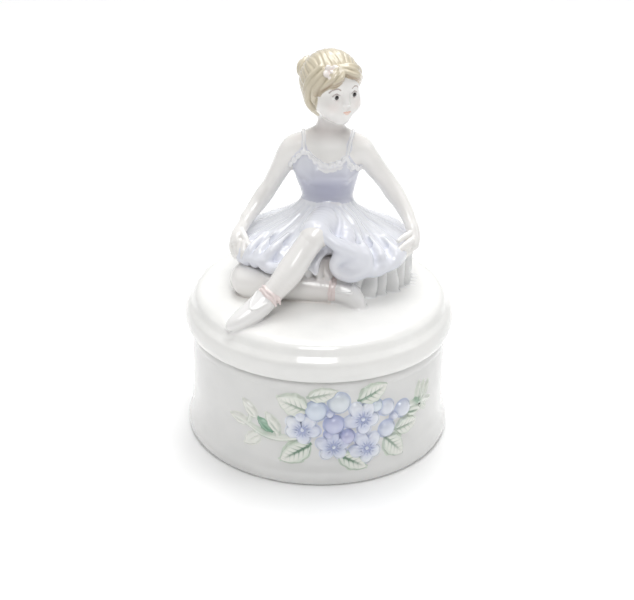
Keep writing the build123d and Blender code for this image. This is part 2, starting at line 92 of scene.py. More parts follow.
world = bpy.data.worlds.new("studio")
bpy.context.scene.world = world
world.use_nodes = True
wt = world.node_tree
wb = wt.nodes["Background"]
wc = wt.nodes.new("ShaderNodeTexCoord")
ws = wt.nodes.new("ShaderNodeSeparateXYZ")
wt.links.new(wc.outputs["Generated"], ws.inputs[0])
wm = wt.nodes.new("ShaderNodeMapRange")
wm.interpolation_type = "SMOOTHSTEP"
wm.inputs["From Min"].default_value, wm.inputs["From Max"].default_value = -1.0, -0.15
wm.inputs["To Min"].default_value, wm.inputs["To Max"].default_value = 0.03, 0.38
wt.links.new(ws.outputs["Y"], wm.inputs["Value"])
wt.links.new(wm.outputs["Result"], wb.inputs["Strength"])
wb.inputs["Color"].default_value = (1.0, 1.0, 1.0, 1)

try:
    bpy.context.scene.view_settings.view_transform = "Standard"
    bpy.context.scene.view_settings.look = "None"
except TypeError:
    pass


# =====================================================================================
# materials
# =====================================================================================
def lin(r, g, b):
    """sRGB 0..1 to scene-linear."""
    return tuple(v / 12.92 if v <= 0.04045 else ((v + 0.055) / 1.055) ** 2.4 for v in (r, g, b))


def tree(name):
    m = bpy.data.materials.new(name)
    m.use_nodes = True
    nt = m.node_tree
    return m, nt, nt.nodes["Principled BSDF"]


def add(nt, kind, **values):
    n = nt.nodes.new(kind)
    for k, v in values.items():
        if k.startswith("in_"):
            n.inputs[k[3:].replace("_", " ")].default_value = v
        else:
            setattr(n, k, v)
    return n


def noise(nt, scale, detail=3.0, rough=0.5, stretch=None):
    tc = nt.nodes.new("ShaderNodeTexCoord")
    src = tc.outputs["Object"]
    if stretch:
        mp = nt.nodes.new("ShaderNodeMapping")
        mp.inputs["Scale"].default_value = stretch
        nt.links.new(src, mp.inputs["Vector"])
        src = mp.outputs["Vector"]
    n = nt.nodes.new("ShaderNodeTexNoise")
    n.inputs["Scale"].default_value = scale
    n.inputs["Detail"].default_value = detail
    n.inputs["Roughness"].default_value = rough
    nt.links.new(src, n.inputs["Vector"])
    return n


def ramp(nt, source, a, b, ca, cb):
    r = nt.nodes.new("ShaderNodeMapRange")
    r.inputs["From Min"].default_value, r.inputs["From Max"].default_value = a, b
    r.inputs["To Min"].default_value, r.inputs["To Max"].default_value = ca, cb
    nt.links.new(source, r.inputs["Value"])
    return r.outputs["Result"]


def bump(nt, bsdf, height, distance, strength=1.0):
    b = nt.nodes.new("ShaderNodeBump")
    b.inputs["Distance"].default_value = distance
    b.inputs["Strength"].default_value = strength
    nt.links.new(height, b.inputs["Height"])
    nt.links.new(b.outputs["Normal"], bsdf.inputs["Normal"])
    return b


def mixed(nt, factor, a, b, mode="MIX"):
    m = nt.nodes.new("ShaderNodeMix")
    m.data_type = "RGBA"
    m.blend_type = mode
    if isinstance(factor, float):
        m.inputs[0].default_value = factor
    else:
        nt.links.new(factor, m.inputs[0])
    for sock, v in ((m.inputs[6], a), (m.inputs[7], b)):
        if isinstance(v, tuple):
            sock.default_value = (*v, 1) if len(v) == 3 else v
        else:
            nt.links.new(v, sock)
    return m.outputs[2]


def glaze(name, colour=None, attribute=None, rough=0.13, wave=0.00005, coat=0.5, depth=0.0):
    """Clear glaze over white porcelain: colour from a computed attribute or a plain tone, slight
    thickness mottling, a long soft surface wave and very fine pits."""
    m, nt, b = tree(name)
    fine = noise(nt, 900.0, 2.0)
    mottled = noise(nt, 70.0, 4.0)
    if attribute:
        base = nt.nodes.new("ShaderNodeAttribute")
        base.attribute_name = attribute
        base = base.outputs["Color"]
    else:
        base = colour
    dark = mixed(nt, 0.10, base, lin(0.80, 0.82, 0.83), "MULTIPLY")
    nt.links.new(mixed(nt, ramp(nt, mottled.outputs["Fac"], 0.42, 0.66, 0.0, 1.0), base, dark), b.inputs["Base Color"])
    nt.links.new(ramp(nt, mottled.outputs["Fac"], 0.3, 0.7, rough * 0.8, rough * 1.3), b.inputs["Roughness"])
    b.inputs["IOR"].default_value = 1.5
    b.inputs["Coat Weight"].default_value = coat
    b.inputs["Coat Roughness"].default_value = 0.05
    b.inputs["Coat IOR"].default_value = 1.5
    b.inputs["Subsurface Weight"].default_value = depth
    b.inputs["Subsurface Radius"].default_value = (0.0022, 0.0018, 0.0015)
    b.inputs["Subsurface Scale"].default_value = 0.6
    mul = nt.nodes.new("ShaderNodeMath")
    mul.operation = "MULTIPLY_ADD"
    mul.inputs[1].default_value = 0.06
    nt.links.new(fine.outputs["Fac"], mul.inputs[0])
    nt.links.new(mottled.outputs["Fac"], mul.inputs[2])
    bump(nt, b, mul.outputs[0], wave * 4)
    return m


def metal(name, colour, rough=0.28, scale=400.0, stretch=(1, 1, 12), tarnish=None):
    m, nt, b = tree(name)
    brush = noise(nt, scale, 6.0, 0.6, stretch)
    patch = noise(nt, 90.0, 3.0)
    t = tarnish or tuple(v * 0.72 for v in colour)
    nt.links.new(mixed(nt, ramp(nt, patch.outputs["Fac"], 0.4, 0.7, 0.0, 1.0), colour, t), b.inputs["Base Color"])
    nt.links.new(ramp(nt, brush.outputs["Fac"], 0.3, 0.7, rough * 0.75, rough * 1.4), b.inputs["Roughness"])
    b.inputs["Metallic"].default_value = 1.0
    bump(nt, b, brush.outputs["Fac"], 0.00002)
    return m


def moulded(name, colour, rough=0.45, grain=1400.0, sheen=0.0):
    m, nt, b = tree(name)
    g = noise(nt, grain, 3.0)
    p = noise(nt, 110.0, 3.0)
    nt.links.new(mixed(nt, ramp(nt, p.outputs["Fac"], 0.35, 0.7, 0.0, 1.0), colour, tuple(v * 0.86 for v in colour)), b.inputs["Base Color"])
    nt.links.new(ramp(nt, g.outputs["Fac"], 0.3, 0.7, rough * 0.85, rough * 1.15), b.inputs["Roughness"])
    b.inputs["IOR"].default_value = 1.46
    bump(nt, b, g.outputs["Fac"], 0.00002)
    return m


WHITE = lin(0.962, 0.960, 0.950)
MAT = {
    "porcelain": glaze("porcelain_glaze", colour=WHITE),
    "wall": glaze("wall_glaze", colour=lin(0.898, 0.897, 0.890)),
    "figure": glaze("figure_glaze", attribute="Tint", rough=0.14, wave=0.00003),
    "relief": glaze("relief_glaze", attribute="Tint", rough=0.15, wave=0.00002),
    "plate": moulded("cover_plastic", lin(0.88, 0.88, 0.85), 0.5),
    "sealant": moulded("silicone_bead", lin(0.86, 0.86, 0.84), 0.4, 300.0),
    "screws": metal("zinc_screws", lin(0.78, 0.78, 0.74), 0.3, 500.0, (1, 1, 1)),
    "bedplate": metal("cast_zinc", lin(0.66, 0.66, 0.63), 0.5, 700.0, (1, 1, 1)),
    "steel_sheet": metal("nickel_sheet", lin(0.76, 0.75, 0.71), 0.25, 300.0, (1, 10, 1)),
    "spring_steel": metal("blued_steel", lin(0.42, 0.45, 0.54), 0.3, 500.0, (1, 1, 14), lin(0.30, 0.31, 0.42)),
    "comb_steel": metal("ground_comb_steel", lin(0.72, 0.73, 0.74), 0.22, 900.0, (14, 1, 1)),
    "key": metal("brass_key", lin(0.84, 0.70, 0.42), 0.22, 350.0, (6, 1, 1), lin(0.66, 0.50, 0.26)),
    "gear_plastic": moulded("natural_acetal", lin(0.90, 0.89, 0.83), 0.38),
    "brass": metal("turned_brass", lin(0.85, 0.72, 0.44), 0.26, 600.0, (14, 1, 1), lin(0.70, 0.55, 0.30)),
    "fan_plastic": moulded("black_moulding", lin(0.14, 0.14, 0.15), 0.35),
    "pin_wire": metal("polished_wire", lin(0.80, 0.80, 0.78), 0.15, 400.0, (1, 1, 10)),
}
slot_of = {p["node"]: p["material_slot"] for p in frame["record"]["subparts"]}
for node, o in NODES.items():
    slot = slot_of[node]
    m = MAT["wall"] if node == "base_bowl" else MAT.get(slot, MAT["porcelain"])
    o.data.materials.clear()
    o.data.materials.append(m)

# floor and sweep
fm, fnt, fb = tree("studio_paper")
fn = noise(fnt, 40.0, 4.0)
fnt.links.new(mixed(fnt, ramp(fnt, fn.outputs["Fac"], 0.4, 0.6, 0.0, 1.0), lin(0.985, 0.985, 0.985), lin(0.975, 0.975, 0.975)), fb.inputs["Base Color"])
fb.inputs["Roughness"].default_value = 0.9
fb.inputs["Emission Color"].default_value = (1, 1, 1, 1)
fb.inputs["Emission Strength"].default_value = 0.05
verts, faces = [], []
profile = [(-2.5, 0.0), (1.2, 0.0)] + [(1.2 + 0.8 * math.sin(a), 0.8 - 0.8 * math.cos(a)) for a in np.linspace(0.1, math.pi / 2, 12)] + [(2.0, 3.0)]
for y, z in profile:
    verts += [(-3.0, y, z), (3.0, y, z)]
for i in range(len(profile) - 1):
    faces.append((2 * i, 2 * i + 1, 2 * i + 3, 2 * i + 2))
fmesh = bpy.data.meshes.new("studio_floor")
fmesh.from_pydata(verts, [], faces)
for p in fmesh.polygons:
    p.use_smooth = True
floor = bpy.data.objects.new("studio_floor", fmesh)
floor.data.materials.append(fm)
bpy.context.scene.collection.objects.link(floor)


# =====================================================================================
# clay: signed distances on a grid, in millimetres
# =====================================================================================
def smin(a, b, k):
    h = np.maximum(k - np.abs(a - b), 0) / k
    return np.minimum(a, b) - h * h * k * 0.25


def smax(a, b, k):
    return -smin(-a, -b, k)


def mix(a, b, t):
    return a + (b - a) * t


def step(x, a, b):
    t = np.clip((x - a) / (b - a), 0, 1)
    return t * t * (3 - 2 * t)


class Shape:
    def __init__(s, fn, lo, hi, k=0.8, cut=False):
        s.fn, s.lo, s.hi, s.k, s.cut = fn, np.array(lo, float), np.array(hi, float), k, cut


def cone(a, b, ra, rb, k=0.8):
    a, b = np.array(a, f32), np.array(b, f32)
    ab = b - a
    L2 = max(float(ab @ ab), 1e-6)

    def fn(x, y, z):
        px, py, pz = x - a[0], y - a[1], z - a[2]
        t = np.clip((px * ab[0] + py * ab[1] + pz * ab[2]) / L2, 0, 1)
        return np.sqrt((px - t * ab[0]) ** 2 + (py - t * ab[1]) ** 2 + (pz - t * ab[2]) ** 2) - (ra + (rb - ra) * t)
    return Shape(fn, np.minimum(a - ra, b - rb), np.maximum(a + ra, b + rb), k)


def blob(c, radii, axes=None, k=0.8):
    c, r = np.array(c, f32), np.array(radii, f32)
    A = np.eye(3, dtype=f32) if axes is None else np.array(axes, f32)   # rows are the local axes

    def fn(x, y, z):
        px, py, pz = x - c[0], y - c[1], z - c[2]
        u = [px * A[i, 0] + py * A[i, 1] + pz * A[i, 2] for i in range(3)]
        k0 = np.sqrt((u[0] / r[0]) ** 2 + (u[1] / r[1]) ** 2 + (u[2] / r[2]) ** 2)
        k1 = np.sqrt((u[0] / r[0] ** 2) ** 2 + (u[1] / r[1] ** 2) ** 2 + (u[2] / r[2] ** 2) ** 2)
        return k0 * (k0 - 1) / np.maximum(k1, 1e-4)
    m = float(r.max())
    ext = np.sqrt(((A * r[:, None]) ** 2).sum(0)) if axes is not None else r
    return Shape(fn, c - ext, c + ext, k)


def spline(points, n):
    """Catmull-Rom through points of any width, n samples per span."""
    p = np.array(points, float)
    q = np.vstack([2 * p[0] - p[1], p, 2 * p[-1] - p[-2]])
    out = []
    for i in range(1, len(q) - 2):
        for t in np.linspace(0, 1, n, endpoint=False):
            out.append(0.5 * ((2 * q[i]) + (-q[i - 1] + q[i + 1]) * t + (2 * q[i - 1] - 5 * q[i] + 4 * q[i + 1] - q[i + 2]) * t * t
                              + (-q[i - 1] + 3 * q[i] - 3 * q[i + 1] + q[i + 2]) * t ** 3))
    out.append(p[-1])
    return np.array(out)


def tube(stations, n=4, k=0.8):
    """Round tube through (x, y, z, r) stations, as one shape."""
    s = spline(stations, n) if n > 1 else np.array(stations, float)
    parts = [cone(a[:3], b[:3], a[3], b[3]) for a, b in zip(s[:-1], s[1:])]

    def fn(x, y, z):
        d = None
        for p in parts:
            e = p.fn(x, y, z)
            d = e if d is None else np.minimum(d, e)
        return d
    lo = np.min([p.lo for p in parts], 0)
    hi = np.max([p.hi for p in parts], 0)
    return Shape(fn, lo, hi, k)


def stack(rows, k=1.0, cap=1.5):
    """Body of elliptical sections: rows of (z, cx, cy, a, b), smoothly joined."""
    rows = np.array(rows, float)
    zz = np.linspace(rows[0, 0], rows[-1, 0], 80)
    s = spline(rows, 12)
    o = np.argsort(s[:, 0])
    s = s[o]
    tab = [np.interp(zz, s[:, 0], s[:, i]).astype(f32) for i in range(1, 5)]

    def fn(x, y, z):
        cx, cy, a, b = [np.interp(z, zz, t).astype(f32) for t in tab]
        u, v = x - cx, y - cy
        k0 = np.sqrt((u / a) ** 2 + (v / b) ** 2)
        k1 = np.sqrt((u / a ** 2) ** 2 + (v / b ** 2) ** 2)
        d = k0 * (k0 - 1) / np.maximum(k1, 1e-4)
        return smax(smax(d, rows[0, 0] - z, cap), z - rows[-1, 0], cap)
    m = max(rows[:, 3].max(), rows[:, 4].max())
    lo = (rows[:, 1].min() - m, rows[:, 2].min() - m, rows[0, 0])
    hi = (rows[:, 1].max() + m, rows[:, 2].max() + m, rows[-1, 0])
    return Shape(fn, lo, hi, k)


class Clay:
    def __init__(s, lo, hi, h):
        s.lo, s.h = np.array(lo, float), h
        s.n = np.ceil((np.array(hi) - s.lo) / h).astype(int) + 1
        s.D = np.full(tuple(s.n), 4.0, f32)

    def window(s, lo, hi):
        a = np.clip(np.floor((np.array(lo) - s.lo) / s.h).astype(int), 0, s.n)
        b = np.clip(np.ceil((np.array(hi) - s.lo) / s.h).astype(int) + 1, 0, s.n)
        ax = [(s.lo[i] + s.h * np.arange(a[i], b[i])).astype(f32) for i in range(3)]
        return tuple(slice(i, j) for i, j in zip(a, b)), ax[0][:, None, None], ax[1][None, :, None], ax[2][None, None, :]

    def apply(s, shape):
        m = shape.k + 3 * s.h
        sl, x, y, z = s.window(shape.lo - m, shape.hi + m)
        if any(q.stop <= q.start for q in sl):
            return
        d = shape.fn(x, y, z).astype(f32)
        s.D[sl] = smax(s.D[sl], -d, shape.k) if shape.cut else smin(s.D[sl], d, shape.k)

    def mesh(s, smooth=2):
        D = np.clip(s.D, -2 * s.h, 2 * s.h)
        D[0], D[-1], D[:, 0], D[:, -1], D[:, :, 0], D[:, :, -1] = (2 * s.h,) * 6
        g = openvdb.FloatGrid(2 * s.h)
        g.copyFromArray(np.ascontiguousarray(D))
        pts, quads = g.convertToQuads(0.0)
        pts = np.asarray(pts, float) * s.h + s.lo
        return pts, np.asarray(quads, np.int64)


def edges_of(quads):
    e = np.vstack([quads[:, [0, 1]], quads[:, [1, 2]], quads[:, [2, 3]], quads[:, [3, 0]]])
    e.sort(1)
    e = e[e[:, 0] != e[:, 1]]
    key = e[:, 0] * (quads.max() + 1) + e[:, 1]
    _, i = np.unique(key, return_index=True)
    return e[i]


def relax(values, e, n, rounds, weight=0.5):
    deg = np.bincount(e[:, 0], minlength=n) + np.bincount(e[:, 1], minlength=n)
    deg = np.maximum(deg, 1)[:, None]
    v = values.copy()
    for _ in range(rounds):
        acc = np.stack([np.bincount(e[:, 0], v[e[:, 1], c], n) + np.bincount(e[:, 1], v[e[:, 0], c], n) for c in range(v.shape[1])], 1)
        v = v + weight * (acc / deg - v)
    return v


def normals_of(pts, quads):
    a, b = pts[quads[:, 2]] - pts[quads[:, 0]], pts[quads[:, 3]] - pts[quads[:, 1]]
    fn = np.cross(a, b)
    n = np.zeros_like(pts)
    for c in range(3):
        n[:, c] = sum(np.bincount(quads[:, j], fn[:, c], len(pts)) for j in range(4))
    return n / np.maximum(np.linalg.norm(n, axis=1, keepdims=True), 1e-9)


def finish_surface(pts, quads, rounds=1):
    """Light volume-keeping smoothing, unit normals and a cavity measure (mm, + in hollows)."""
    e = edges_of(quads)
    n = len(pts)
    for _ in range(rounds):
        pts = relax(pts, e, n, 1, 0.5)
        pts = relax(pts, e, n, 1, -0.52)
    nor = normals_of(pts, quads)
    deep = relax(pts, e, n, 10, 0.6)
    cav = ((deep - pts) * nor).sum(1)
    cav = relax(cav[:, None], e, n, 2)[:, 0]
    return pts, nor, cav, e


def make_piece(name, pts, quads, nor, tint, material, keep, body, nodes=(), inset=0.5):
    """A closed piece from the faces in keep: its cut edges are turned in and closed inside the
    neighbouring piece, so outer surfaces of neighbours meet exactly."""
    q = quads[keep]
    used, inv = np.unique(q, return_inverse=True)
    q = inv.reshape(q.shape)
    P, N, T = pts[used], nor[used], tint[used]
    de = np.vstack([q[:, [0, 1]], q[:, [1, 2]], q[:, [2, 3]], q[:, [3, 0]]])
    de = de[de[:, 0] != de[:, 1]]
    M = len(P)
    key = de[:, 0] * M + de[:, 1]
    rkey = de[:, 1] * M + de[:, 0]
    open_e = de[~np.isin(key, rkey)]
    extra_v, extra_f, extra_n, extra_t = [], [], [], []
    if len(open_e):
        nxt = {}
        for a, b in open_e.tolist():
            nxt.setdefault(a, []).append(b)
        loops = []
        while nxt:
            a = next(iter(nxt))
            loop = [a]
            cur = a
            while cur in nxt:
                b = nxt[cur].pop()
                if not nxt[cur]:
                    del nxt[cur]
                if b == a:
                    break
                loop.append(b)
                cur = b
            if len(loop) >= 3:
                loops.append(loop)
        for loop in loops:
            L = np.array(loop)
            c = P[L].mean(0)
            inner = P[L] - N[L] * inset
            base = M + len(extra_v)
            m = len(L)
            # even the inner ring out so that the hidden cap has no spikes
            for _ in range(3):
                inner = 0.5 * inner + 0.25 * (np.roll(inner, 1, 0) + np.roll(inner, -1, 0))
            c2 = inner.mean(0)
            # a cut that meets the lid is closed from below its surface, so the cap never spans the fillet
            foot = P[L][:, 2].min()
            if 58.0 < foot < 64.8:
                c2[2] = foot - 0.3
            extra_v += inner.tolist() + [c2.tolist()]
            extra_n += N[L].tolist() + [N[L].mean(0).tolist()]
            extra_t += T[L].tolist() + [T[L].mean(0).tolist()]
            for i in range(m):
                j = (i + 1) % m
                extra_f.append((int(L[j]), int(L[i]), base + i, base + j))
                extra_f.append((base + j, base + i, base + m, base + m))
    if extra_v:
        P = np.vstack([P, extra_v])
        N = np.vstack([N, extra_n])
        T = np.vstack([T, extra_t])
        q = np.vstack([q, np.array(extra_f)])
    N = N / np.maximum(np.linalg.norm(N, axis=1, keepdims=True), 1e-6)
    tri = q[:, 2] == q[:, 3]
    tri0 = (q[:, 0] == q[:, 1]) | (q[:, 1] == q[:, 2]) | (q[:, 3] == q[:, 0])
    faces = [tuple(f[:3]) if t else tuple(dict.fromkeys(f)) if t0 else tuple(f) for f, t, t0 in zip(q.tolist(), tri.tolist(), tri0.tolist())]
    me = bpy.data.meshes.new(name)
    me.from_pydata((P * 0.001).tolist(), [], faces)
    me.polygons.foreach_set("use_smooth", np.ones(len(me.polygons), bool))
    at = me.color_attributes.new("Tint", "FLOAT_COLOR", "POINT")
    at.data.foreach_set("color", np.hstack([T, np.ones((len(T), 1))]).astype(f32).ravel())
    me.materials.append(material)
    me.validate()
    if len(open_e):
        ev = np.empty(len(me.edges) * 2, np.int64)
        me.edges.foreach_get("vertices", ev)
        ev = np.sort(ev.reshape(-1, 2), 1)
        oe = np.sort(open_e, 1)
        sharp = np.isin(ev[:, 0] * 10 ** 7 + ev[:, 1], oe[:, 0] * 10 ** 7 + oe[:, 1])
        me.edges.foreach_set("use_edge_sharp", sharp)
    me.normals_split_custom_set_from_vertices(N.tolist())
    o = bpy.data.objects.new(name, me)
    bpy.context.scene.collection.objects.link(o)
    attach(o, body)
    if nodes:
        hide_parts(*nodes)
    return o


# =====================================================================================
# the lid's upper surface, which the figure is fired on to
# =====================================================================================
known_r = np.array([0, 8.0, 20.0, 34.0, 44.0, 48.3, 49.9, 50.75])
known_z = np.array([63.8, 63.78, 63.6, 62.95, 61.95, 61.1, 59.9, 58.3])
lid_tab = spline(np.stack([known_r, known_z], 1), 10)


def lid_top(r):
    return np.interp(r, lid_tab[:, 0], lid_tab[:, 1]).astype(f32)


def lid_distance(x, y, z):
    r = np.sqrt(x * x + y * y)
    return (z - lid_top(r)) * np.where(r > 47, 0.75, 0.99).astype(f32)




# =====================================================================================
# the seated dancer, modelled as one piece of clay and cut into its named pieces
# =====================================================================================
H = 0.27
TURN = math.radians(30.0)
FN, FS = np.array([math.sin(TURN), -math.cos(TURN), 0]), np.array([math.cos(TURN), math.sin(TURN), 0])
HEAD = np.array([3.9, 3.2, 144.0])
FACE_AXES = np.array([FS, FN, [0, 0, 1.0]])


def hp(s, f, u):
    """A point of the head from its own side, forward and up."""
    return HEAD + FS * s + FN * f + np.array([0, 0, u])


def head_blob(s, f, u, rs, rf, ru, k=1.0):
    return blob(hp(s, f, u), (rs, rf, ru), FACE_AXES, k)


def pleat(phi):
    return (1 - np.abs(np.sin(phi))) ** 1.6


def bell(x, y, z):
    """The tutu's upper layer: a bell of pleats about the waist with a waved, rolled hem."""
    X, Y = x - 2.2, y - 7.2
    ry = np.where(Y < 0, 27.5, 25.0)
    rx = np.where(X > 0, 36.8, 38.0)
    u = np.sqrt((X / rx) ** 2 + (Y / ry) ** 2)
    th = np.arctan2(X / rx, -Y / ry)
    zs = np.interp(u, [0, .2, .27, .36, .48, .62, .78, .92, 1.02, 1.1], [99.5, 98.6, 96.6, 93.6, 90.9, 88.6, 86.0, 83.0, 80.0, 76.5]).astype(f32)
    grow = np.clip((u - 0.2) / 0.8, 0, 1)
    p1 = pleat(15 * th + 1.1 * np.sin(2 * th + .6) + .6 * np.sin(5 * th + 2)) * (0.22 + 0.30 * grow) * (1 - 0.35 * grow)
    p2 = pleat(7 * th + 1.0 * np.sin(2 * th + 1.6) + .7 * np.sin(3 * th)) * (1.7 * grow ** 1.15)
    p3 = pleat(26 * th + .8 * np.sin(3 * th)) * 0.24 * np.clip(1 - grow * 1.1, 0.12, 1)
    zs = zs - (p1 + p2 + p3) * np.clip((u - .18) * 8, 0, 1)
    wave = np.cos(14 * th + 2.0 * np.sin(2 * th + 1.6) + 1.4 * np.sin(3 * th))
    uh = 1.0 + .022 * wave + .018 * np.sin(5 * th + .9)
    lo = zs - (3.6 + 5.0 * (1 - grow))
    d = smax((z - zs) * 0.86, (lo - z) * 0.86, 1.6)
    return smax(d, (u - uh) * np.where(np.abs(X) > np.abs(Y), 34.0, 27.0), 3.0)


def frill(x, y, z):
    """The petticoat: a gathered wall that stands on the lid in deep rounded flutes."""
    X, Y = x - 2.2, y - 7.8
    s = np.clip((z - 62.0) / 18.0, 0, 1)
    ax, ay = 34.0 + 1.5 * s, 24.6 + 1.0 * s
    u = np.sqrt((X / ax) ** 2 + (Y / ay) ** 2)
    th = np.arctan2(X / ax, -Y / ay)
    sway = 0.035 * np.sin((z - 62) * 0.16 + 5 * th)
    w = np.abs(np.sin(19 * (th + sway) + 1.1 * np.sin(4 * th) + .5 * np.sin(9 * th))) ** 0.7
    foot = np.exp(-((z - 66.0) / 4.5) ** 2) * (0.5 + 0.5 * np.sin(19 * th + 2))
    return smax((u - 1.0) * 27.0 + 2.5 * (1 - w) - 1.0 * foot, z - 80.5, 1.5)


def along(points, n=6):
    return spline(points, n)


parts = {}
order = []


def part(name, *shapes):
    parts.setdefault(name, [])
    for sh in shapes:
        parts[name].append(sh)
        order.append(sh)


seat = stack([(58, 2.2, 8.0, 24, 17), (70, 2.2, 8.0, 24, 17), (80, 2.2, 8.0, 25, 18), (84, 2.2, 8.0, 20, 15)], k=1.0)
part("tutu_petticoat", seat, Shape(frill, (-36, -20, 56), (40, 36, 81), 1.0))
part("tutu_skirt", Shape(bell, (-42, -26, 68), (44, 38, 100), 1.4))
# cloth drawn over the raised thigh, and the lap's front edge
part("tutu_skirt",
     tube([(3.5, 3, 89.5, 8.0), (1.5, -4, 90.6, 7.3), (-0.8, -11, 91.4, 6.5), (-2.0, -15.4, 91.9, 6.0)], 3, 3.5),
     tube([(8.5, 1, 89.2, 6.5), (9.4, -7, 88.4, 5.8), (9.2, -14, 87.4, 4.6), (8.2, -18, 87.6, 3.0)], 3, 5.0))
hollow = [blob((4.2, -19.6, 79.4), (4.4, 6.8, 5.2), k=2.0), blob((-22.0, -20.0, 72.8), (7.5, 8.0, 3.8), k=1.6)]
for c in hollow:
    c.cut = True
order += hollow
part("tutu_skirt",
     # rolled edge from the knee to the right
     tube([(-0.6, -18.6, 94.6, 1.2), (1.8, -19.4, 93.0, 1.8), (5.0, -20.6, 90.6, 2.3), (8.8, -21.2, 88.4, 2.6), (12.0, -20.4, 86.8, 2.3), (14.0, -18.6, 85.8, 1.5)], 5, 3.0),
     # second curl under it
     tube([(13.4, -18.6, 85.2, 1.8), (10.6, -19.8, 85.0, 2.0), (7.2, -20.3, 83.6, 2.2), (5.6, -20.3, 81.2, 2.2), (6.6, -20.4, 78.6, 2.3), (9.8, -20.2, 77.0, 2.4),
           (13.4, -19.4, 76.6, 2.5), (17.4, -18.0, 77.4, 2.4), (21.4, -16.4, 76.8, 2.5), (25.4, -14.2, 77.6, 2.3), (29.0, -11.4, 78.4, 2.1), (32.0, -8.2, 80.6, 1.7)], 5, 3.2),
     blob((13.2, -16.6, 81.2), (6.8, 4.7, 5.8), k=2.6),
     tube([(14.6, -11.5, 88.6, .5), (17.2, -16.4, 85.0, 1.9), (17.6, -17.8, 80.6, 2.1), (15.8, -18.8, 77.8, 1.9)], 5, 2.4),
     tube([(19.0, -8.6, 87.6, .4), (23.2, -13.8, 83.6, 1.7), (24.0, -14.9, 79.6, 1.9)], 5, 2.6),
     tube([(25.4, -5.4, 85.4, .4), (29.4, -10.0, 82.4, 1.6), (29.6, -11.4, 79.4, 1.7)], 5, 2.4),
     # rolled hem towards the near hand, with its pointed folds
     tube([(-10.6, -19.0, 83.4, 1.6), (-13.8, -19.4, 80.2, 2.0), (-17.2, -18.6, 78.2, 2.2), (-20.6, -17.0, 77.8, 2.1), (-23.6, -15.2, 79.0, 1.8), (-25.4, -13.6, 77.6, 1.5), (-27.4, -12.2, 78.6, 1.4), (-29.4, -10.6, 77.0, 1.3), (-31.4, -8.6, 77.6, 1.1)], 5, 2.8),
     tube([(-12.6, -8.6, 88.0, .4), (-18.4, -14.0, 84.4, 1.7), (-21.6, -15.8, 80.6, 1.8)], 5, 2.6),
     tube([(-18.4, -6.0, 87.0, .4), (-23.2, -11.8, 83.4, 1.5), (-25.6, -13.4, 79.6, 1.6)], 5, 2.2),
     tube([(-22.4, -3.8, 86.0, .4), (-27.0, -9.6, 82.8, 1.5), (-29.0, -11.0, 78.8, 1.4)], 5, 2.0),
     tube([(-26.2, -2.6, 84.8, .4), (-30.2, -7.6, 81.6, 1.3), (-31.6, -8.8, 77.8, 1.1)], 5, 1.8))
folds = []
LONG_FOLDS = [[(7, -1, 96), (11, -8, 91), (13.6, -14, 87.5), (14.6, -19, 83)], [(9, 0, 96), (15.5, -6, 90), (19.6, -11, 86)], [(10.5, 2, 96), (20, -4, 89), (26, -8.5, 85)], [(11.5, 5, 95.5), (22, 1, 89.5), (31, -3, 84.5)],
              [(-3, 0, 96), (-9, -7, 90.5), (-14, -12, 87)], [(-5, 1, 96), (-14, -4, 89.5), (-21, -8.5, 85.5)], [(-6.5, 4, 95.5), (-18, 0, 89.5), (-28, -4, 84)], [(4.6, -2.6, 96.6), (6.6, -9, 92), (7.4, -15, 90)]]
upper = list(parts["tutu_skirt"][:4])


def skirt_at(P):
    x, y, z = [P[:, i].astype(f32) for i in range(3)]
    d = None
    for sh in upper:
        e = sh.fn(x, y, z)
        d = e if d is None else smin(d, e, sh.k)
    return d


def drawn(points, fn, lift=0.0):
    P = np.array(points, float)
    for _ in range(8):
        d = fn(P)
        g = np.stack([fn(P + np.eye(3)[i] * .1) - fn(P - np.eye(3)[i] * .1) for i in range(3)], 1)
        g /= np.maximum(np.linalg.norm(g, axis=1, keepdims=True), 1e-6)
        P = P - g * (d - lift)[:, None] * .7
    return P


for fold in LONG_FOLDS:
    line = drawn(spline(fold, 6), skirt_at, .25)
    folds.append(tube(np.hstack([line, np.linspace(.35, .95, len(line))[:, None]]), 1, 1.3))
for c in folds:
    c.cut = True
order += folds

torso = stack([(82, 2.4, 8.8, 11.5, 9.5), (92, 2.4, 8.8, 10.8, 8.2), (97.5, 2.45, 8.6, 10.1, 7.6), (101, 2.3, 8.3, 10.7, 7.9), (105, 2.0, 7.9, 11.9, 8.4),
               (108.5, 1.9, 7.6, 12.8, 8.7), (112, 2.0, 7.5, 13.4, 8.6), (115.5, 2.2, 7.5, 13.4, 8.1), (118.5, 2.3, 7.5, 12.0, 7.2), (121.5, 2.6, 7.3, 8.8, 6.0), (124, 2.9, 7.0, 6.4, 5.2)], 2.2)
neck = cone((2.8, 6.6, 120), (3.3, 5.4, 135), 5.3, 5.0, 3.0)
trap = [cone((2.4, 7.8, 124.6), (-10.2, 8.0, 118.9), 4.4, 4.4, 3.0), cone((3.4, 7.8, 124.6), (14.6, 8.0, 118.9), 4.4, 4.4, 3.0)]
part("ballerina_torso", torso, *trap, neck)
part("ballerina_torso", cone((-2.5, 0.2, 109.5), (7.5, 0.2, 109.5), 2.4, 2.4, 5.0))

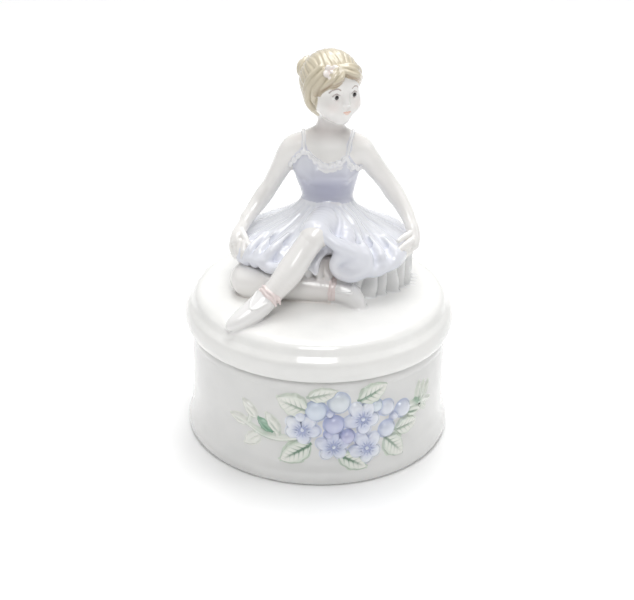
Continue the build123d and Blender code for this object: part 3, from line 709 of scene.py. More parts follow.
arm_r = tube([(-9.8, 8, 118.4, 4.5), (-12.6, 8, 116.4, 4.6), (-16.3, 8.5, 109.1, 3.9), (-19.9, 9, 101.9, 3.35), (-22.4, 8.8, 98.0, 3.5), (-25.0, 7.8, 94.3, 3.3), (-29.0, 3.4, 89.9, 2.5)], 5, 2.2)
arm_l = tube([(14.0, 8, 118.4, 4.5), (16.6, 8, 116.2, 4.6), (21.0, 8.5, 110.2, 4.1), (25.6, 9, 104.0, 3.75), (28.4, 8.6, 100.0, 3.8), (31.2, 7.0, 96.4, 3.4), (34.3, 3.6, 91.6, 2.8), (36.1, 0.4, 88.0, 2.4)], 5, 2.2)
part("right_arm", arm_r)
part("left_arm", arm_l)
part("right_hand", tube([(-29.0, 3.4, 89.9, 2.3), (-30.8, .4, 87.4, 2.4), (-32.6, -2.6, 84.6, 2.7), (-33.2, -4.2, 82.6, 2.5)], 4, 1.5))
for i in range(4):
    part("right_hand", tube([(-34.6 + 1.55 * i, -3.0 - 1.3 * i, 83.4, 1.25), (-34.9 + 1.55 * i, -5.2 - 1.3 * i, 80.2, 1.15), (-33.4 + 1.4 * i, -7.0 - 1.1 * i, 77.4 - .1 * i, .95)], 5, 0.35))
part("right_hand", tube([(-31.0, -2.6, 86.2, 1.5), (-29.4, -5.8, 84.6, 1.25), (-28.2, -8.0, 82.8, .95)], 5, 0.6))
part("left_hand", tube([(36.1, .4, 88.0, 2.3), (36.8, -1.6, 85.4, 2.6), (36.2, -3.6, 82.8, 2.8)], 4, 1.5))
for i in range(4):
    part("left_hand", tube([(35.8 - .1 * i, -5.0 + .2 * i, 84.8 - 1.65 * i, 1.3), (33.2, -7.3 + .3 * i, 84.0 - 1.6 * i, 1.2), (30.8 + .1 * i, -9.0 + .5 * i, 82.6 - 1.45 * i, .95)], 5, 0.35))
part("left_hand", tube([(35.4, -2.4, 86.6, 1.4), (32.6, -5.4, 86.4, 1.2), (30.6, -7.2, 85.6, .95)], 5, 0.6))

# legs
part("left_leg", tube([(3.5, -2, 86, 4.6), (0.4, -10, 89.6, 4.8), (-2.0, -16.8, 91.6, 5.2), (-4.2, -18.6, 89.4, 5.0), (-6.9, -20.4, 86.0, 5.0), (-11.6, -24.0, 79.6, 5.3), (-16.4, -27.0, 74.0, 4.5), (-20.2, -28.6, 70.8, 3.9)], 5, 0.6))
part("right_leg", tube([(-26.5, -3, 69.6, 6.0), (-29.2, -9.2, 68.8, 6.3), (-25.2, -12.0, 68.9, 6.3), (-18.0, -13.4, 69.2, 6.2), (-10.0, -14.2, 69.1, 5.9), (-2.0, -15.0, 68.5, 5.3), (5.4, -15.6, 67.9, 4.5)], 5, 0.6), cone((-8.0, -13.4, 64.6), (8.0, -13.8, 64.6), 3.4, 3.2, 1.5))
part("left_slipper", tube([(-20.4, -28.6, 70.4, 4.25), (-22.6, -30.0, 68.2, 4.7), (-25.6, -32.0, 66.2, 4.5), (-29.0, -34.2, 64.5, 3.9), (-31.8, -35.8, 63.3, 3.1), (-33.8, -36.8, 62.3, 2.1)], 6, 0.8),
     blob((-20.6, -27.0, 67.6), (3.6, 3.6, 3.4), k=2.0))
part("right_slipper", tube([(5.6, -15.6, 67.9, 4.6), (8.6, -16.2, 67.9, 4.9), (11.8, -17.6, 66.8, 4.6), (14.2, -19.4, 65.0, 3.8), (15.6, -21.0, 63.4, 2.7)], 6, 0.8),
     blob((7.4, -13.6, 66.9), (3.6, 3.8, 3.8), k=2.0), cone((6.5, -14.0, 64.4), (11.5, -15.0, 64.0), 3.2, 3.0, 1.5))

# head
part("ballerina_head",
     head_blob(0, -.8, 1.6, 10.0, 10.3, 10.4, 1.5), head_blob(0, 2.4, -3.9, 7.7, 7.4, 7.6, 3.5), head_blob(-4.5, 4.9, -4.3, 4.0, 4.2, 3.9, 2.5), head_blob(4.5, 4.9, -4.3, 4.0, 4.2, 3.9, 2.5),
     head_blob(0, 6.4, -9.0, 2.9, 2.9, 2.7, 3.0), head_blob(0, 8.0, -5.9, 2.9, 2.4, 2.5, 2.4), head_blob(0, 3.5, 5.5, 7.6, 6.4, 5.0, 3.0))
for s in (-1, 1):
    socket = head_blob(s * 3.9, 11.2, .5, 2.3, 2.0, 1.6, 1.8)
    socket.cut = True
    order.append(socket)
    part("ballerina_head", head_blob(s * 3.85, 8.35, .35, 1.7, 1.1, 1.25, 0.5))
part("ballerina_head",
     tube([(*hp(0, 9.0, 1.6), .8), (*hp(0, 9.8, -.6), .85), (*hp(0, 10.6, -2.3), 1.05)], 4, 1.3), head_blob(-.95, 10.0, -2.7, .75, .7, .65, .5), head_blob(.95, 10.0, -2.7, .75, .7, .65, .5),
     tube([(*hp(-1.7, 9.75, -5.5), .3), (*hp(-.7, 10.45, -5.05), .5), (*hp(0, 10.5, -5.3), .42), (*hp(.7, 10.45, -5.05), .5), (*hp(1.7, 9.75, -5.5), .3)], 4, .35),
     tube([(*hp(-1.3, 9.75, -5.9), .3), (*hp(0, 10.25, -6.3), .58), (*hp(1.3, 9.75, -5.9), .3)], 4, .35))

BUN = np.array([-5.3, 12.8, 148.9])
baxis = (BUN - np.array([3.2, 3.6, 147.0]))
baxis /= np.linalg.norm(baxis)
b1 = np.cross(baxis, [0, 0, 1.0])
b1 /= np.linalg.norm(b1)
b2 = np.cross(baxis, b1)


def strands(x, y, z, count, c=(3.2, 3.6, 147.0)):
    """Combed strands that run to the bun: angle about the line from the face to the bun."""
    px, py, pz = x - c[0], y - c[1], z - c[2]
    t = px * baxis[0] + py * baxis[1] + pz * baxis[2]
    a = np.arctan2(px * b1[0] + py * b1[1] + pz * b1[2], px * b2[0] + py * b2[1] + pz * b2[2])
    a = a + 0.035 * t + .05 * np.sin(.5 * t + 5 * a)
    return a


def cap(x, y, z):
    c = np.array([2.5, 5.2, 147.4])
    d = np.sqrt((x - c[0]) ** 2 + (y - c[1]) ** 2 + ((z - c[2]) * 1.0) ** 2) - 11.9
    a = strands(x, y, z, 30)
    g = .30 * (1 - np.abs(np.sin(13 * a + .8 * np.sin(3 * a)))) ** 1.5 + .13 * (1 - np.abs(np.sin(31 * a))) ** 1.5
    d = d + g
    # hairline: the face side stays bare
    f = (x - HEAD[0]) * FN[0] + (y - HEAD[1]) * FN[1]
    s = (x - HEAD[0]) * FS[0] + (y - HEAD[1]) * FS[1]
    u = z - HEAD[2]
    line = f - (2.4 + .62 * (u - 2.0) + .010 * (u - 2.0) ** 2)
    return smax(d, line * .85, .8)


def nape(x, y, z):
    d = blob((0.4, 7.4, 141.4), (8.4, 7.6, 9.6)).fn(x, y, z)
    a = strands(x, y, z, 30)
    d = d + .28 * (1 - np.abs(np.sin(15 * a))) ** 1.5
    f = (x - HEAD[0]) * FN[0] + (y - HEAD[1]) * FN[1]
    return smax(d, f + 1.2, 1.0)


part("ballerina_hair", Shape(cap, (-11, -8, 134), (16, 19, 161), .5), Shape(nape, (-10, -2, 130), (10, 17, 152), 1.6))


def lock(stations, k=.5, twist=2.2, n=3):
    """A lock of hair: a few strands laid side by side that taper together."""
    st = spline(stations, 6)
    out = []
    for j in range(n):
        ph = 2 * math.pi * j / n
        rows = []
        for i, (x, y, z, r) in enumerate(st):
            a = ph + twist * i / len(st)
            t = st[min(i + 1, len(st) - 1), :3] - st[max(i - 1, 0), :3]
            t /= np.linalg.norm(t)
            e1 = np.cross(t, FN)
            e1 /= np.linalg.norm(e1)
            e2 = np.cross(t, e1)
            o = (e1 * math.cos(a) + e2 * math.sin(a)) * r * .42
            rows.append((x + o[0], y + o[1], z + o[2], r * .66))
        out.append(tube(rows, 1, .28))
    out[0].k = k
    return out


def hq(s, f, u, r):
    return (*hp(s, f, u), r)


part("ballerina_hair",
     # fringe to the far side
     *lock([hq(-1.4, 8.2, 10.6, 1.2), hq(1.6, 9.6, 9.2, 1.7), hq(4.8, 8.6, 7.6, 1.8), hq(7.4, 6.0, 5.4, 1.6), hq(8.9, 3.0, 2.6, 1.2), hq(9.4, 1.6, -0.4, .7)]),
     *lock([hq(-1.8, 7.2, 11.4, 1.3), hq(2.0, 7.9, 10.8, 1.9), hq(5.6, 6.4, 9.2, 1.9), hq(8.4, 3.4, 6.8, 1.7), hq(9.8, .2, 3.4, 1.3)]),
     # lock that falls by the part
     *lock([hq(-1.2, 8.4, 10.6, 1.2), hq(-2.4, 9.6, 8.4, 1.5), hq(-4.2, 9.2, 6.3, 1.3), hq(-5.6, 8.0, 4.9, .7)]),
     *lock([hq(-2.6, 7.6, 10.8, 1.3), hq(-4.8, 7.8, 8.2, 1.9), hq(-6.9, 6.6, 5.4, 1.7), hq(-8.2, 4.9, 2.8, 1.2), hq(-8.5, 4.2, .6, .6)]),
     # side hair that covers the ear
     *lock([hq(-5.4, 5.2, 10.4, 1.6), hq(-8.0, 4.4, 6.8, 2.3), hq(-9.4, 2.7, 2.6, 2.3), hq(-9.3, 1.8, -1.2, 1.7), hq(-8.6, 1.8, -3.6, .9)]),
     *lock([hq(-6.6, 2.6, 10.4, 1.8), hq(-9.6, 1.0, 6.0, 2.4), hq(-10.4, -.8, 1.2, 2.4), hq(-9.6, -1.6, -3.4, 2.0), hq(-8.0, -1.6, -6.8, 1.2)]),
     *lock([hq(8.6, -.6, 8.0, 1.7), hq(10.3, -1.4, 3.4, 2.1), hq(10.0, -1.8, -1.2, 1.9), hq(8.8, -1.4, -5.2, 1.1)]))


def bunfn(x, y, z):
    p = [x - BUN[0], y - BUN[1], z - BUN[2]]
    d = np.sqrt(p[0] ** 2 + p[1] ** 2 + p[2] ** 2)
    t = (p[0] * baxis[0] + p[1] * baxis[1] + p[2] * baxis[2])
    a = np.arctan2(p[0] * b1[0] + p[1] * b1[1] + p[2] * b1[2], p[0] * b2[0] + p[1] * b2[1] + p[2] * b2[2])
    swirl = (1 - np.abs(np.sin(1.5 * a + 1.15 * t))) ** 1.4
    return d - 5.2 + .55 * swirl + .12 * (1 - np.abs(np.sin(6 * a + 4.6 * t)))


part("hair_bun", Shape(bunfn, BUN - 5.3, BUN + 5.3, .5))

FLOWER = hp(-5.0, 6.8, 9.8)
fl_n = hp(-5.0, 6.8, 9.8) - np.array([2.5, 5.2, 147.4])
fl_n /= np.linalg.norm(fl_n)
fl_a = np.cross(fl_n, [0, 0, 1.0])
fl_a /= np.linalg.norm(fl_a)
fl_b = np.cross(fl_n, fl_a)
for i in range(5):
    a = 2 * math.pi * i / 5 + .3
    d = fl_a * math.cos(a) + fl_b * math.sin(a)
    tt = np.cross(fl_n, d)
    part("hair_flower", blob(FLOWER + d * 1.75 + fl_n * .35, (1.65, 1.35, .62), np.array([d + fl_n * .3, tt, fl_n - d * .3]) / np.array([[math.sqrt(1.09)], [1], [math.sqrt(1.09)]]), .2))
part("hair_flower", blob(FLOWER + fl_n * .8, (.75, .75, .75), k=.2))


# small trims lie on the body: points are drawn down to its surface
def body_at(P):
    x, y, z = [P[:, i].astype(f32) for i in range(3)]
    d = torso.fn(x, y, z)
    for sh in (*trap, neck, arm_r, arm_l):
        d = smin(d, sh.fn(x, y, z), 3.0)
    return d


def on_body(points, lift=0.0, fn=body_at):
    P = np.array(points, float)
    for _ in range(8):
        d = fn(P)
        g = np.stack([fn(P + np.eye(3)[i] * .1) - fn(P - np.eye(3)[i] * .1) for i in range(3)], 1)
        g /= np.maximum(np.linalg.norm(g, axis=1, keepdims=True), 1e-6)
        P = P - g * (d - lift)[:, None] * .9
    return P


NECKLINE = [(-12.5, 5, 112.6), (-11.0, 1, 115.0), (-9.0, -.5, 118.0), (-7, -1, 119.9), (-4.3, -2, 117.8), (-1.5, -3, 116.2), (1.2, -4, 114.6), (4.3, -4, 115.1), (7, -4, 116), (8.9, -3.5, 116.9),
            (10.4, -3, 118.0), (12, -2.5, 115.6), (13.7, -1, 112.9), (15.2, 4, 111.4)]
rim = on_body(spline(NECKLINE, 10), .25)
seg = np.r_[0, np.cumsum(np.linalg.norm(np.diff(rim, axis=0), axis=1))]
rows = []
for q, l in zip(rim, seg):
    w = math.sin(l * 2.35)
    rows.append((q[0], q[1] - .15 * w, q[2] + .55 * w, .62 + .16 * math.sin(l * 4.7 + 1)))
part("bodice_trim", tube(rows, 1, .35))
rows = []
for q, l in zip(rim, seg):
    w = math.sin(l * 2.35 + 1.9)
    rows.append((q[0], q[1] - .25, q[2] - .75 + .35 * w, .42))
part("bodice_trim", tube(rows, 1, .3))
for pts_ in ([(-7.2, -1, 119.4), (-7.4, 1.5, 122.2), (-7.2, 5, 124.0), (-7.0, 9, 123.6), (-6.6, 13, 120.6), (-6.0, 15.2, 115.5)], [(10.6, -2.6, 117.8), (11.0, 1.0, 121.6), (11.2, 5, 123.6), (11.2, 9, 123.4), (10.8, 13, 120.4), (10.0, 15.2, 115.5)]):
    part("bodice_trim", tube(np.hstack([on_body(spline(pts_, 6), .2), np.full((6 * 5 + 1, 1), .55)]), 1, .3))
# waist: a small knot where the bodice runs into the skirt
part("bodice_trim", blob((4.0, 0.1, 96.4), (1.5, .9, 1.1), k=.6), blob((2.4, .3, 96.9), (1.0, .7, .75), k=.4), blob((5.6, .5, 96.6), (1.0, .7, .75), k=.4))


# ankle ribbons
def ankle(c, direction, radius, name, width=1.15, lift=.35):
    d = np.array(direction, float)
    d /= np.linalg.norm(d)
    e1 = np.cross(d, [0, 0, 1.0])
    e1 /= np.linalg.norm(e1)
    e2 = np.cross(d, e1)
    for off in (-width * .6, width * .6):
        pts_ = []
        for a in np.linspace(0, 2 * math.pi, 33):
            q = np.array(c) + d * (off + .18 * math.sin(5 * a + off)) + (e1 * math.cos(a) + e2 * math.sin(a)) * (radius + lift - .45)
            pts_.append((*q, .62))
        part(name, tube(pts_, 1, .35))
    return d, e1, e2


ankle((-19.2, -28.2, 71.6), (-.66, -.30, -.68), 4.2, "left_ribbon")
ankle((5.0, -15.6, 68.0), (1, -.08, -.06), 4.65, "right_ribbon", 1.0)
# little tied ends on the near ankle
part("left_ribbon", tube([(-16.9, -31.0, 72.6, .7), (-15.6, -31.6, 71.2, .75), (-15.2, -31.4, 69.4, .5)], 4, .3), tube([(-17.3, -31.2, 72.4, .7), (-17.3, -32.4, 70.8, .7), (-16.7, -32.6, 69.0, .45)], 4, .3),
     blob((-17.2, -31.2, 72.6), (1.1, 1.0, 1.0), k=.4))
# slipper throats: a fine raised edge
for name, pts_ in (("left_slipper", [(-20.5, -32.4, 70.2), (-23.6, -34.4, 68.8), (-26.4, -34.8, 68.6), (-25.4, -31.4, 70.6), (-22.4, -27.6, 71.6)]), ("right_slipper", [(6.6, -19.9, 69.2), (9.8, -21.0, 69.2), (12.4, -20.6, 69.0), (11.8, -17.4, 71.0), (8.6, -13.6, 72.4)])):
    base = parts[name][0]
    fnb = lambda P, b=base: b.fn(P[:, 0].astype(f32), P[:, 1].astype(f32), P[:, 2].astype(f32))
    line = on_body(spline(pts_, 6), .05, fnb)
    part(name, tube(np.hstack([line, np.full((len(line), 1), .32)]), 1, .3))

clay = Clay((-41, -42, 58.5), (43, 38, 161.5), H)
for sh in order:
    clay.apply(sh)
# fire the figure on to the lid: glaze runs into the joint, and what lies under the lid's surface is cut off
sl, gx, gy, gz = clay.window((-41, -42, 58.5), (43, 38, 68))
lidd = lid_distance(gx, gy, gz) + .03
figure_d = clay.D[sl].copy()
joined = smin(figure_d, lidd, 1.5)
clay.D[sl] = np.maximum(np.maximum(joined, figure_d - 2.6), -(lidd + .6))
fig_pts, fig_q = clay.mesh()
del clay
fig_pts, fig_n, fig_cav, fig_e = finish_surface(fig_pts, fig_q, 5)

names = list(parts)
dist = np.full((len(names), len(fig_pts)), 9.0, f32)
for i, n in enumerate(names):
    for sh in parts[n]:
        inside = np.all((fig_pts > sh.lo - 3) & (fig_pts < sh.hi + 3), axis=1)
        idx = np.flatnonzero(inside)
        if len(idx):
            p = fig_pts[idx].astype(f32)
            dist[i, idx] = np.minimum(dist[i, idx], sh.fn(p[:, 0], p[:, 1], p[:, 2]))
bias = {"bodice_trim": -.15, "left_ribbon": -.15, "right_ribbon": -.15, "hair_flower": -.1}
for n, v in bias.items():
    dist[names.index(n)] += v
above = lid_distance(fig_pts[:, 0], fig_pts[:, 1], fig_pts[:, 2])
for n in ("left_ribbon", "right_ribbon"):
    dist[names.index(n), above < 1.1] = 9.0
dist = relax(dist.T.astype(float), fig_e, len(fig_pts), 3, .5).T
label = np.argmin(dist, 0)

# ---- colour -------------------------------------------------------------------------
W_ = np.array(lin(.965, .962, .950))
SKIN = np.array(lin(.968, .960, .948))
LEG = np.array(lin(.962, .954, .944))
BLUE = np.array(lin(.752, .758, .832))
PALE = np.array(lin(.945, .950, .966))
MID = np.array(lin(.872, .882, .938))
HAIR = np.array(lin(.838, .798, .708))
HAIR_GROOVE_SHADE = np.array(lin(.600, .545, .430))
PINK = np.array(lin(.950, .895, .885))
tint = np.tile(W_, (len(fig_pts), 1))
X, Y, Z = fig_pts.T
cav = np.clip(fig_cav / .22, -1, 1)
# painted shade: how deep a point lies in a hollow, used to darken the tint there
hollow_shade = np.clip(cav, 0, 1)[:, None]
# painted highlight: how far a point stands out on a ridge, used to lighten the tint there
ridge_highlight = np.clip(-cav, 0, 1)[:, None]


def blend_to(mask, colour, amount):
    a = np.asarray(amount, float)
    a = a[:, None] if a.ndim == 1 else a
    tint[mask] = tint[mask] * (1 - a) + np.asarray(colour) * a


def is_(n):
    return label == names.index(n)


for n in ("ballerina_head", "right_arm", "left_arm", "right_hand", "left_hand"):
    m = is_(n)
    tint[m] = SKIN
    # painted shade: skin darkened in its hollows
    blend_to(m, np.array(lin(.80, .74, .70)), hollow_shade[m] * .35)
for n in ("left_leg", "right_leg"):
    m = is_(n)
    tint[m] = LEG
    blend_to(m, np.array(lin(.93, .87, .85)), np.clip((80 - Z[m]) / 18, 0, 1) * .30 if n == "left_leg" else np.clip((X[m] + 8) / 16, 0, 1) * .22)
    # painted shade: legs darkened in their hollows
    blend_to(m, np.array(lin(.74, .68, .62)), hollow_shade[m] * .4)
# bodice below the neckline, skin above
m = is_("ballerina_torso")
nx = np.array([p[0] for p in NECKLINE])
nz = np.array([p[2] for p in NECKLINE])
front = np.interp(X, nx, nz, left=112.0, right=111.0)
back_line = 112.5
edge = np.where(Y < 5.5, front, back_line)
edge = np.where((Y >= 3.5) & (Y < 7.5), mix(front, back_line, np.clip((Y - 3.5) / 4, 0, 1)), edge)
cloth = step(edge - Z, -.25, .25)
strength = np.interp(Z, [94, 97, 101, 106, 110, 114, 118], [.42, .62, .98, 1.0, .72, .40, .25])
centre = np.exp(-((X - 2.5) / 11.0) ** 2 * .35)
bod = PALE * (1 - (strength * centre)[:, None]) + BLUE * (strength * centre)[:, None]
tint[m] = (SKIN * (1 - cloth[:, None]) + bod * cloth[:, None])[m]
# painted shade: the front of the neck under the chin is darkened
neck_shade_m = m & (Z > 121)
blend_to(neck_shade_m, np.array(lin(.800, .765, .750)), np.clip(1 - np.abs(Z[neck_shade_m] - 128) / 7, 0, 1) * .80 * np.clip((9 - Y[neck_shade_m]) / 5, 0, 1))
# painted shade: bodice darker in its hollows
blend_to(m, np.array(lin(.62, .63, .78)), hollow_shade[m] * .35 * cloth[m][:, None])
# skirt
m = is_("tutu_skirt")
tint[m] = PALE
r_ = np.hypot((X - 2.2) / 38, (Y - 7.2) / 27)
blend_to(m, MID, (np.clip((r_[m] - .55) / .5, 0, 1) * .30))
# painted shade: skirt darker and bluer in its pleat hollows
blend_to(m, np.array(lin(.72, .745, .86)), hollow_shade[m] * .42)
# painted highlight: skirt lighter on its pleat ridges
blend_to(m, W_, ridge_highlight[m] * .35)
lap = np.exp(-(((X - 6) / 6) ** 2 + ((Y + 14) / 8) ** 2 + ((Z - 90) / 6) ** 2))
blend_to(m, MID, lap[m] * .55)
# painted shade: surfaces that face downwards are darkened
underside_shade = np.clip(-fig_n[:, 2], 0, 1)
blend_to(m, np.array(lin(.66, .69, .80)), underside_shade[m] * .35)
m = is_("tutu_petticoat")
tint[m] = np.array(lin(.962, .962, .960))
# painted shade: petticoat grey in the hollows between its flutes
blend_to(m, np.array(lin(.74, .76, .77)), hollow_shade[m] * .45)
# painted shade: brownish darkening in the recess under the skirt's front fold, on petticoat and skirt
skirt_recess_shade = np.exp(-(((X - 4.5) / 7) ** 2 + ((Y + 12) / 9) ** 2 + ((Z - 77) / 6) ** 2))
for n in ("tutu_petticoat", "tutu_skirt"):
    m = is_(n)
    blend_to(m, np.array(lin(.74, .67, .62)), skirt_recess_shade[m] * .45)
m = is_("bodice_trim")
tint[m] = np.array(lin(.952, .950, .955))
# painted shade: trim darker and bluer in its hollows
blend_to(m, np.array(lin(.70, .72, .84)), hollow_shade[m] * .6)
for n in ("left_slipper", "right_slipper"):
    m = is_(n)
    tint[m] = np.array(lin(.965, .960, .955))
    # painted shade: slippers darker in their hollows
    blend_to(m, np.array(lin(.80, .79, .79)), hollow_shade[m] * .4)
for n in ("left_ribbon", "right_ribbon"):
    m = is_(n)
    tint[m] = PINK
    # painted shade: ribbons darker in their hollows
    blend_to(m, np.array(lin(.80, .66, .63)), hollow_shade[m] * .6)
# hair
for n in ("ballerina_hair", "hair_bun"):
    m = is_(n)
    tint[m] = HAIR
    # painted shade: hair darkened in the grooves between strands
    blend_to(m, HAIR_GROOVE_SHADE, np.clip(hollow_shade[m] * 1.0, 0, .85))
    # painted highlight: hair lighter on the crests of its strands
    blend_to(m, np.array(lin(.930, .895, .820)), ridge_highlight[m] * .40)
    f = ((X - HEAD[0]) * FN[0] + (Y - HEAD[1]) * FN[1])[m]
    # painted shade: hair that faces downwards on the face side is darkened
    blend_to(m, np.array(lin(.60, .50, .38)), np.clip(underside_shade[m] * 1.1, 0, .8) * (f > 4))
m = is_("hair_flower")
tint[m] = np.array(lin(.955, .925, .905))
# painted shade: flower darker and pinker in its hollows
blend_to(m, np.array(lin(.86, .72, .68)), hollow_shade[m] * .7)
# face paint
ps = (X - HEAD[0]) * FS[0] + (Y - HEAD[1]) * FS[1]
pf = (X - HEAD[0]) * FN[0] + (Y - HEAD[1]) * FN[1]
pu = Z - HEAD[2]
face = is_("ballerina_head") & (pf > 4)


def stroke(points, width, colour, amount=1.0):
    P = spline([(a, b) for a, b in points], 8)
    best = np.full(len(X), 99.0)
    idx = np.flatnonzero(face)
    for a, b in zip(P[:-1], P[1:]):
        ab = b - a
        t = np.clip(((ps[idx] - a[0]) * ab[0] + (pu[idx] - a[1]) * ab[1]) / max(ab @ ab, 1e-9), 0, 1)
        best[idx] = np.minimum(best[idx], np.hypot(ps[idx] - a[0] - t * ab[0], pu[idx] - a[1] - t * ab[1]))
    a = step(-best, -width, -width * .45) * amount
    blend_to(face, colour, a[face])


cheek = np.exp(-(((np.abs(ps) - 5.2) / 2.4) ** 2 + ((pu + 3.6) / 2.2) ** 2))
blend_to(face, np.array(lin(.950, .850, .820)), cheek[face] * .22)
stroke([(-1.35, -5.65), (-.6, -5.45), (0, -5.55), (.6, -5.45), (1.35, -5.65)], .40, np.array(lin(.86, .62, .50)), .8)
stroke([(-.7, -6.1), (0, -6.3), (.7, -6.1)], .50, np.array(lin(.93, .76, .68)), .7)
for s in (-1, 1):
    stroke([(s * 2.5, 3.2), (s * 3.6, 3.9), (s * 5.4, 3.3), (s * 6.3, 2.2)], .30, np.array(lin(.50, .36, .31)), .75)
    stroke([(s * 2.6, 1.0), (s * 3.9, 1.75), (s * 5.3, .9)], .24, np.array(lin(.42, .25, .22)), .7)
    stroke([(s * 3.0, -.55), (s * 3.9, -.85), (s * 4.9, -.5)], .18, np.array(lin(.60, .40, .36)), .5)
    d = np.hypot((ps - s * 3.9) / .95, (pu - .35) / 1.05)
    blend_to(face, np.array(lin(.97, .965, .955)), (step(-np.hypot((ps - s * 3.9) / 1.7, (pu - .3) / 1.15), -1.0, -.85) * .6)[face])
    blend_to(face, np.array(lin(.10, .07, .06)), step(-d, -1.0, -.78)[face])

low_set = [names.index(n) for n in ("right_leg", "right_slipper", "right_ribbon")]
low_m = np.isin(label, low_set)
label = np.where(low_m, np.where(X > 6.9, low_set[1], low_set[0]), label)
vl = label[fig_q]
# a face takes its commonest corner label
srt = np.sort(vl, 1)
quad_label = np.where(srt[:, 1] == srt[:, 2], srt[:, 1], np.where(srt[:, 2] == srt[:, 3], srt[:, 2], srt[:, 0]))
info = {
    "ballerina_torso": ("bodice", ("ballerina_torso",)), "bodice_trim": ("bodice", ()), "ballerina_head": ("skin", ("ballerina_head",)),
    "ballerina_hair": ("hair", ("ballerina_hair",)), "hair_bun": ("hair", ("hair_bun",)), "hair_flower": ("ornament", ("hair_flower",)),
    "tutu_skirt": ("tutu", ("tutu_skirt",)), "tutu_petticoat": ("tutu", ("tutu_petticoat", "ballerina_seat")),
    "right_arm": ("skin", ("right_arm",)), "left_arm": ("skin", ("left_arm",)), "right_hand": ("skin", ("right_hand",)), "left_hand": ("skin", ("left_hand",)),
    "left_leg": ("stocking", ("left_leg",)), "right_leg": ("stocking", ("right_leg",)), "left_slipper": ("slipper", ("left_slipper",)), "right_slipper": ("slipper", ("right_slipper",)),
    "left_ribbon": ("slipper", ()), "right_ribbon": ("slipper", ()),
}
for i, n in enumerate(names):
    slot, nodes = info[n]
    if not (quad_label == i).any():
        continue
    make_piece(n + "_glazed", fig_pts, fig_q, fig_n, tint, MAT["figure"], quad_label == i, "lid", nodes)


# =====================================================================================
# the flower spray on the wall: modelled flat on the unrolled wall, then bent round it
# =====================================================================================
RW = 52.4
HR = 0.17
FLOWERS = [
    ((-6.3, 25.8), 6.6, [(-4.3, 2.2), (-4.3, -1.9), (0.3, -4.3), (4.4, -1.0), (2.9, 3.7)]),
    ((19.4, 29.5), 7.0, [(-2.8, 4.6), (2.5, 3.9), (4.2, -1.4), (0.9, -4.5), (-3.9, -1.1)]),
    ((7.0, 18.3), 6.4, [(-4.6, 1.0), (-2.9, -3.8), (2.9, -3.5), (4.1, 1.2), (-0.3, 3.9)]),
    ((21.5, 16.2), 6.6, [(3.6, 2.9), (3.9, -2.7), (0.3, -4.6), (-3.9, -1.2), (-2.1, 4.0)]),
]
BERRIES = [(-0.7, 33.7, 4.2, 2.7), (9.1, 37.1, 4.3, 2.5), (7.2, 27.4, 3.9, 2.8), (5.2, 32.4, 1.5, 1.9), (-7.4, 31.0, 2.3, 2.1),
           (13.0, 21.6, 3.0, 2.7), (31.7, 22.0, 3.5, 2.5), (31.2, 31.7, 3.3, 2.4), (40.0, 28.8, 3.6, 2.4), (35.2, 26.9, 1.5, 2.1), (5.1, 23.2, 1.9, 2.2), (26.0, 33.6, 2.6, 2.0)]
LEAVES = [  # bearing, height, half length, half width, spin, how green, lift
    (-10.8, 36.0, 6.6, 4.4, 160, .55, 1.25), (2.0, 41.0, 5.8, 2.9, 14, .45, 1.1), (24.3, 40.0, 6.4, 4.0, 24, .85, 1.25), (42.5, 20.6, 5.6, 3.5, 2, .55, 1.2),
    (35.6, 13.6, 6.2, 4.1, -48, .7, 1.2), (15.4, 10.9, 6.4, 3.1, -30, .95, 1.05), (-9.4, 14.8, 7.0, 4.2, 214, .95, 1.25),
    (46.8, 25.6, 4.2, 2.2, -10, .8, 1.1),
    (-23.4, 24.7, 3.7, 1.6, 143, 1.25, .95), (-19.6, 26.3, 4.6, 1.9, 128, .25, 1.25), (-30.8, 30.2, 4.5, 2.0, 134, .05, 1.1), (-36.3, 24.2, 4.6, 1.9, 172, .05, 1.0), (-29.4, 17.2, 4.7, 2.3, 221, .05, 1.0),
    (49.8, 33.4, 3.8, 1.3, 84, .4, 1.0), (55.6, 31.8, 3.6, 1.2, 62, .3, .9), (52.6, 32.4, 4.0, 1.1, 74, .35, .9), (54.0, 25.4, 3.1, 1.3, -52, .35, .9),
]
STEMS = [[(-38.0, 25.4, .5), (-32.5, 23.6, .75), (-27.4, 21.8, .95), (-22.6, 20.4, 1.05), (-16.6, 20.2, 1.1), (-9.5, 21.4, 1.0)],
         [(-32.0, 23.4, .5), (-30.6, 26.4, .6), (-30.2, 29.0, .4)], [(-26.4, 21.6, .6), (-28.4, 19.2, .6), (-30.4, 17.0, .4)], [(-17.0, 20.4, .7), (-18.0, 23.0, .6), (-19.2, 25.6, .4)],
         [(40.0, 29.2, .8), (46.5, 28.8, .95), (52.0, 28.4, .9), (57.0, 27.0, .7), (59.5, 26.4, .4)], [(47.5, 28.8, .7), (49.2, 31.0, .6), (49.8, 34.0, .4)],
         [(50.0, 28.6, .6), (52.0, 30.6, .55), (53.0, 33.6, .35)], [(52.6, 28.4, .6), (54.6, 30.0, .5), (56.4, 32.4, .35)], [(51.4, 28.4, .6), (53.0, 26.4, .55), (54.6, 24.6, .35)]]


def arc(deg):
    return math.radians(deg) * RW


def flat(a, z, w):
    return np.array([a, -w, z])


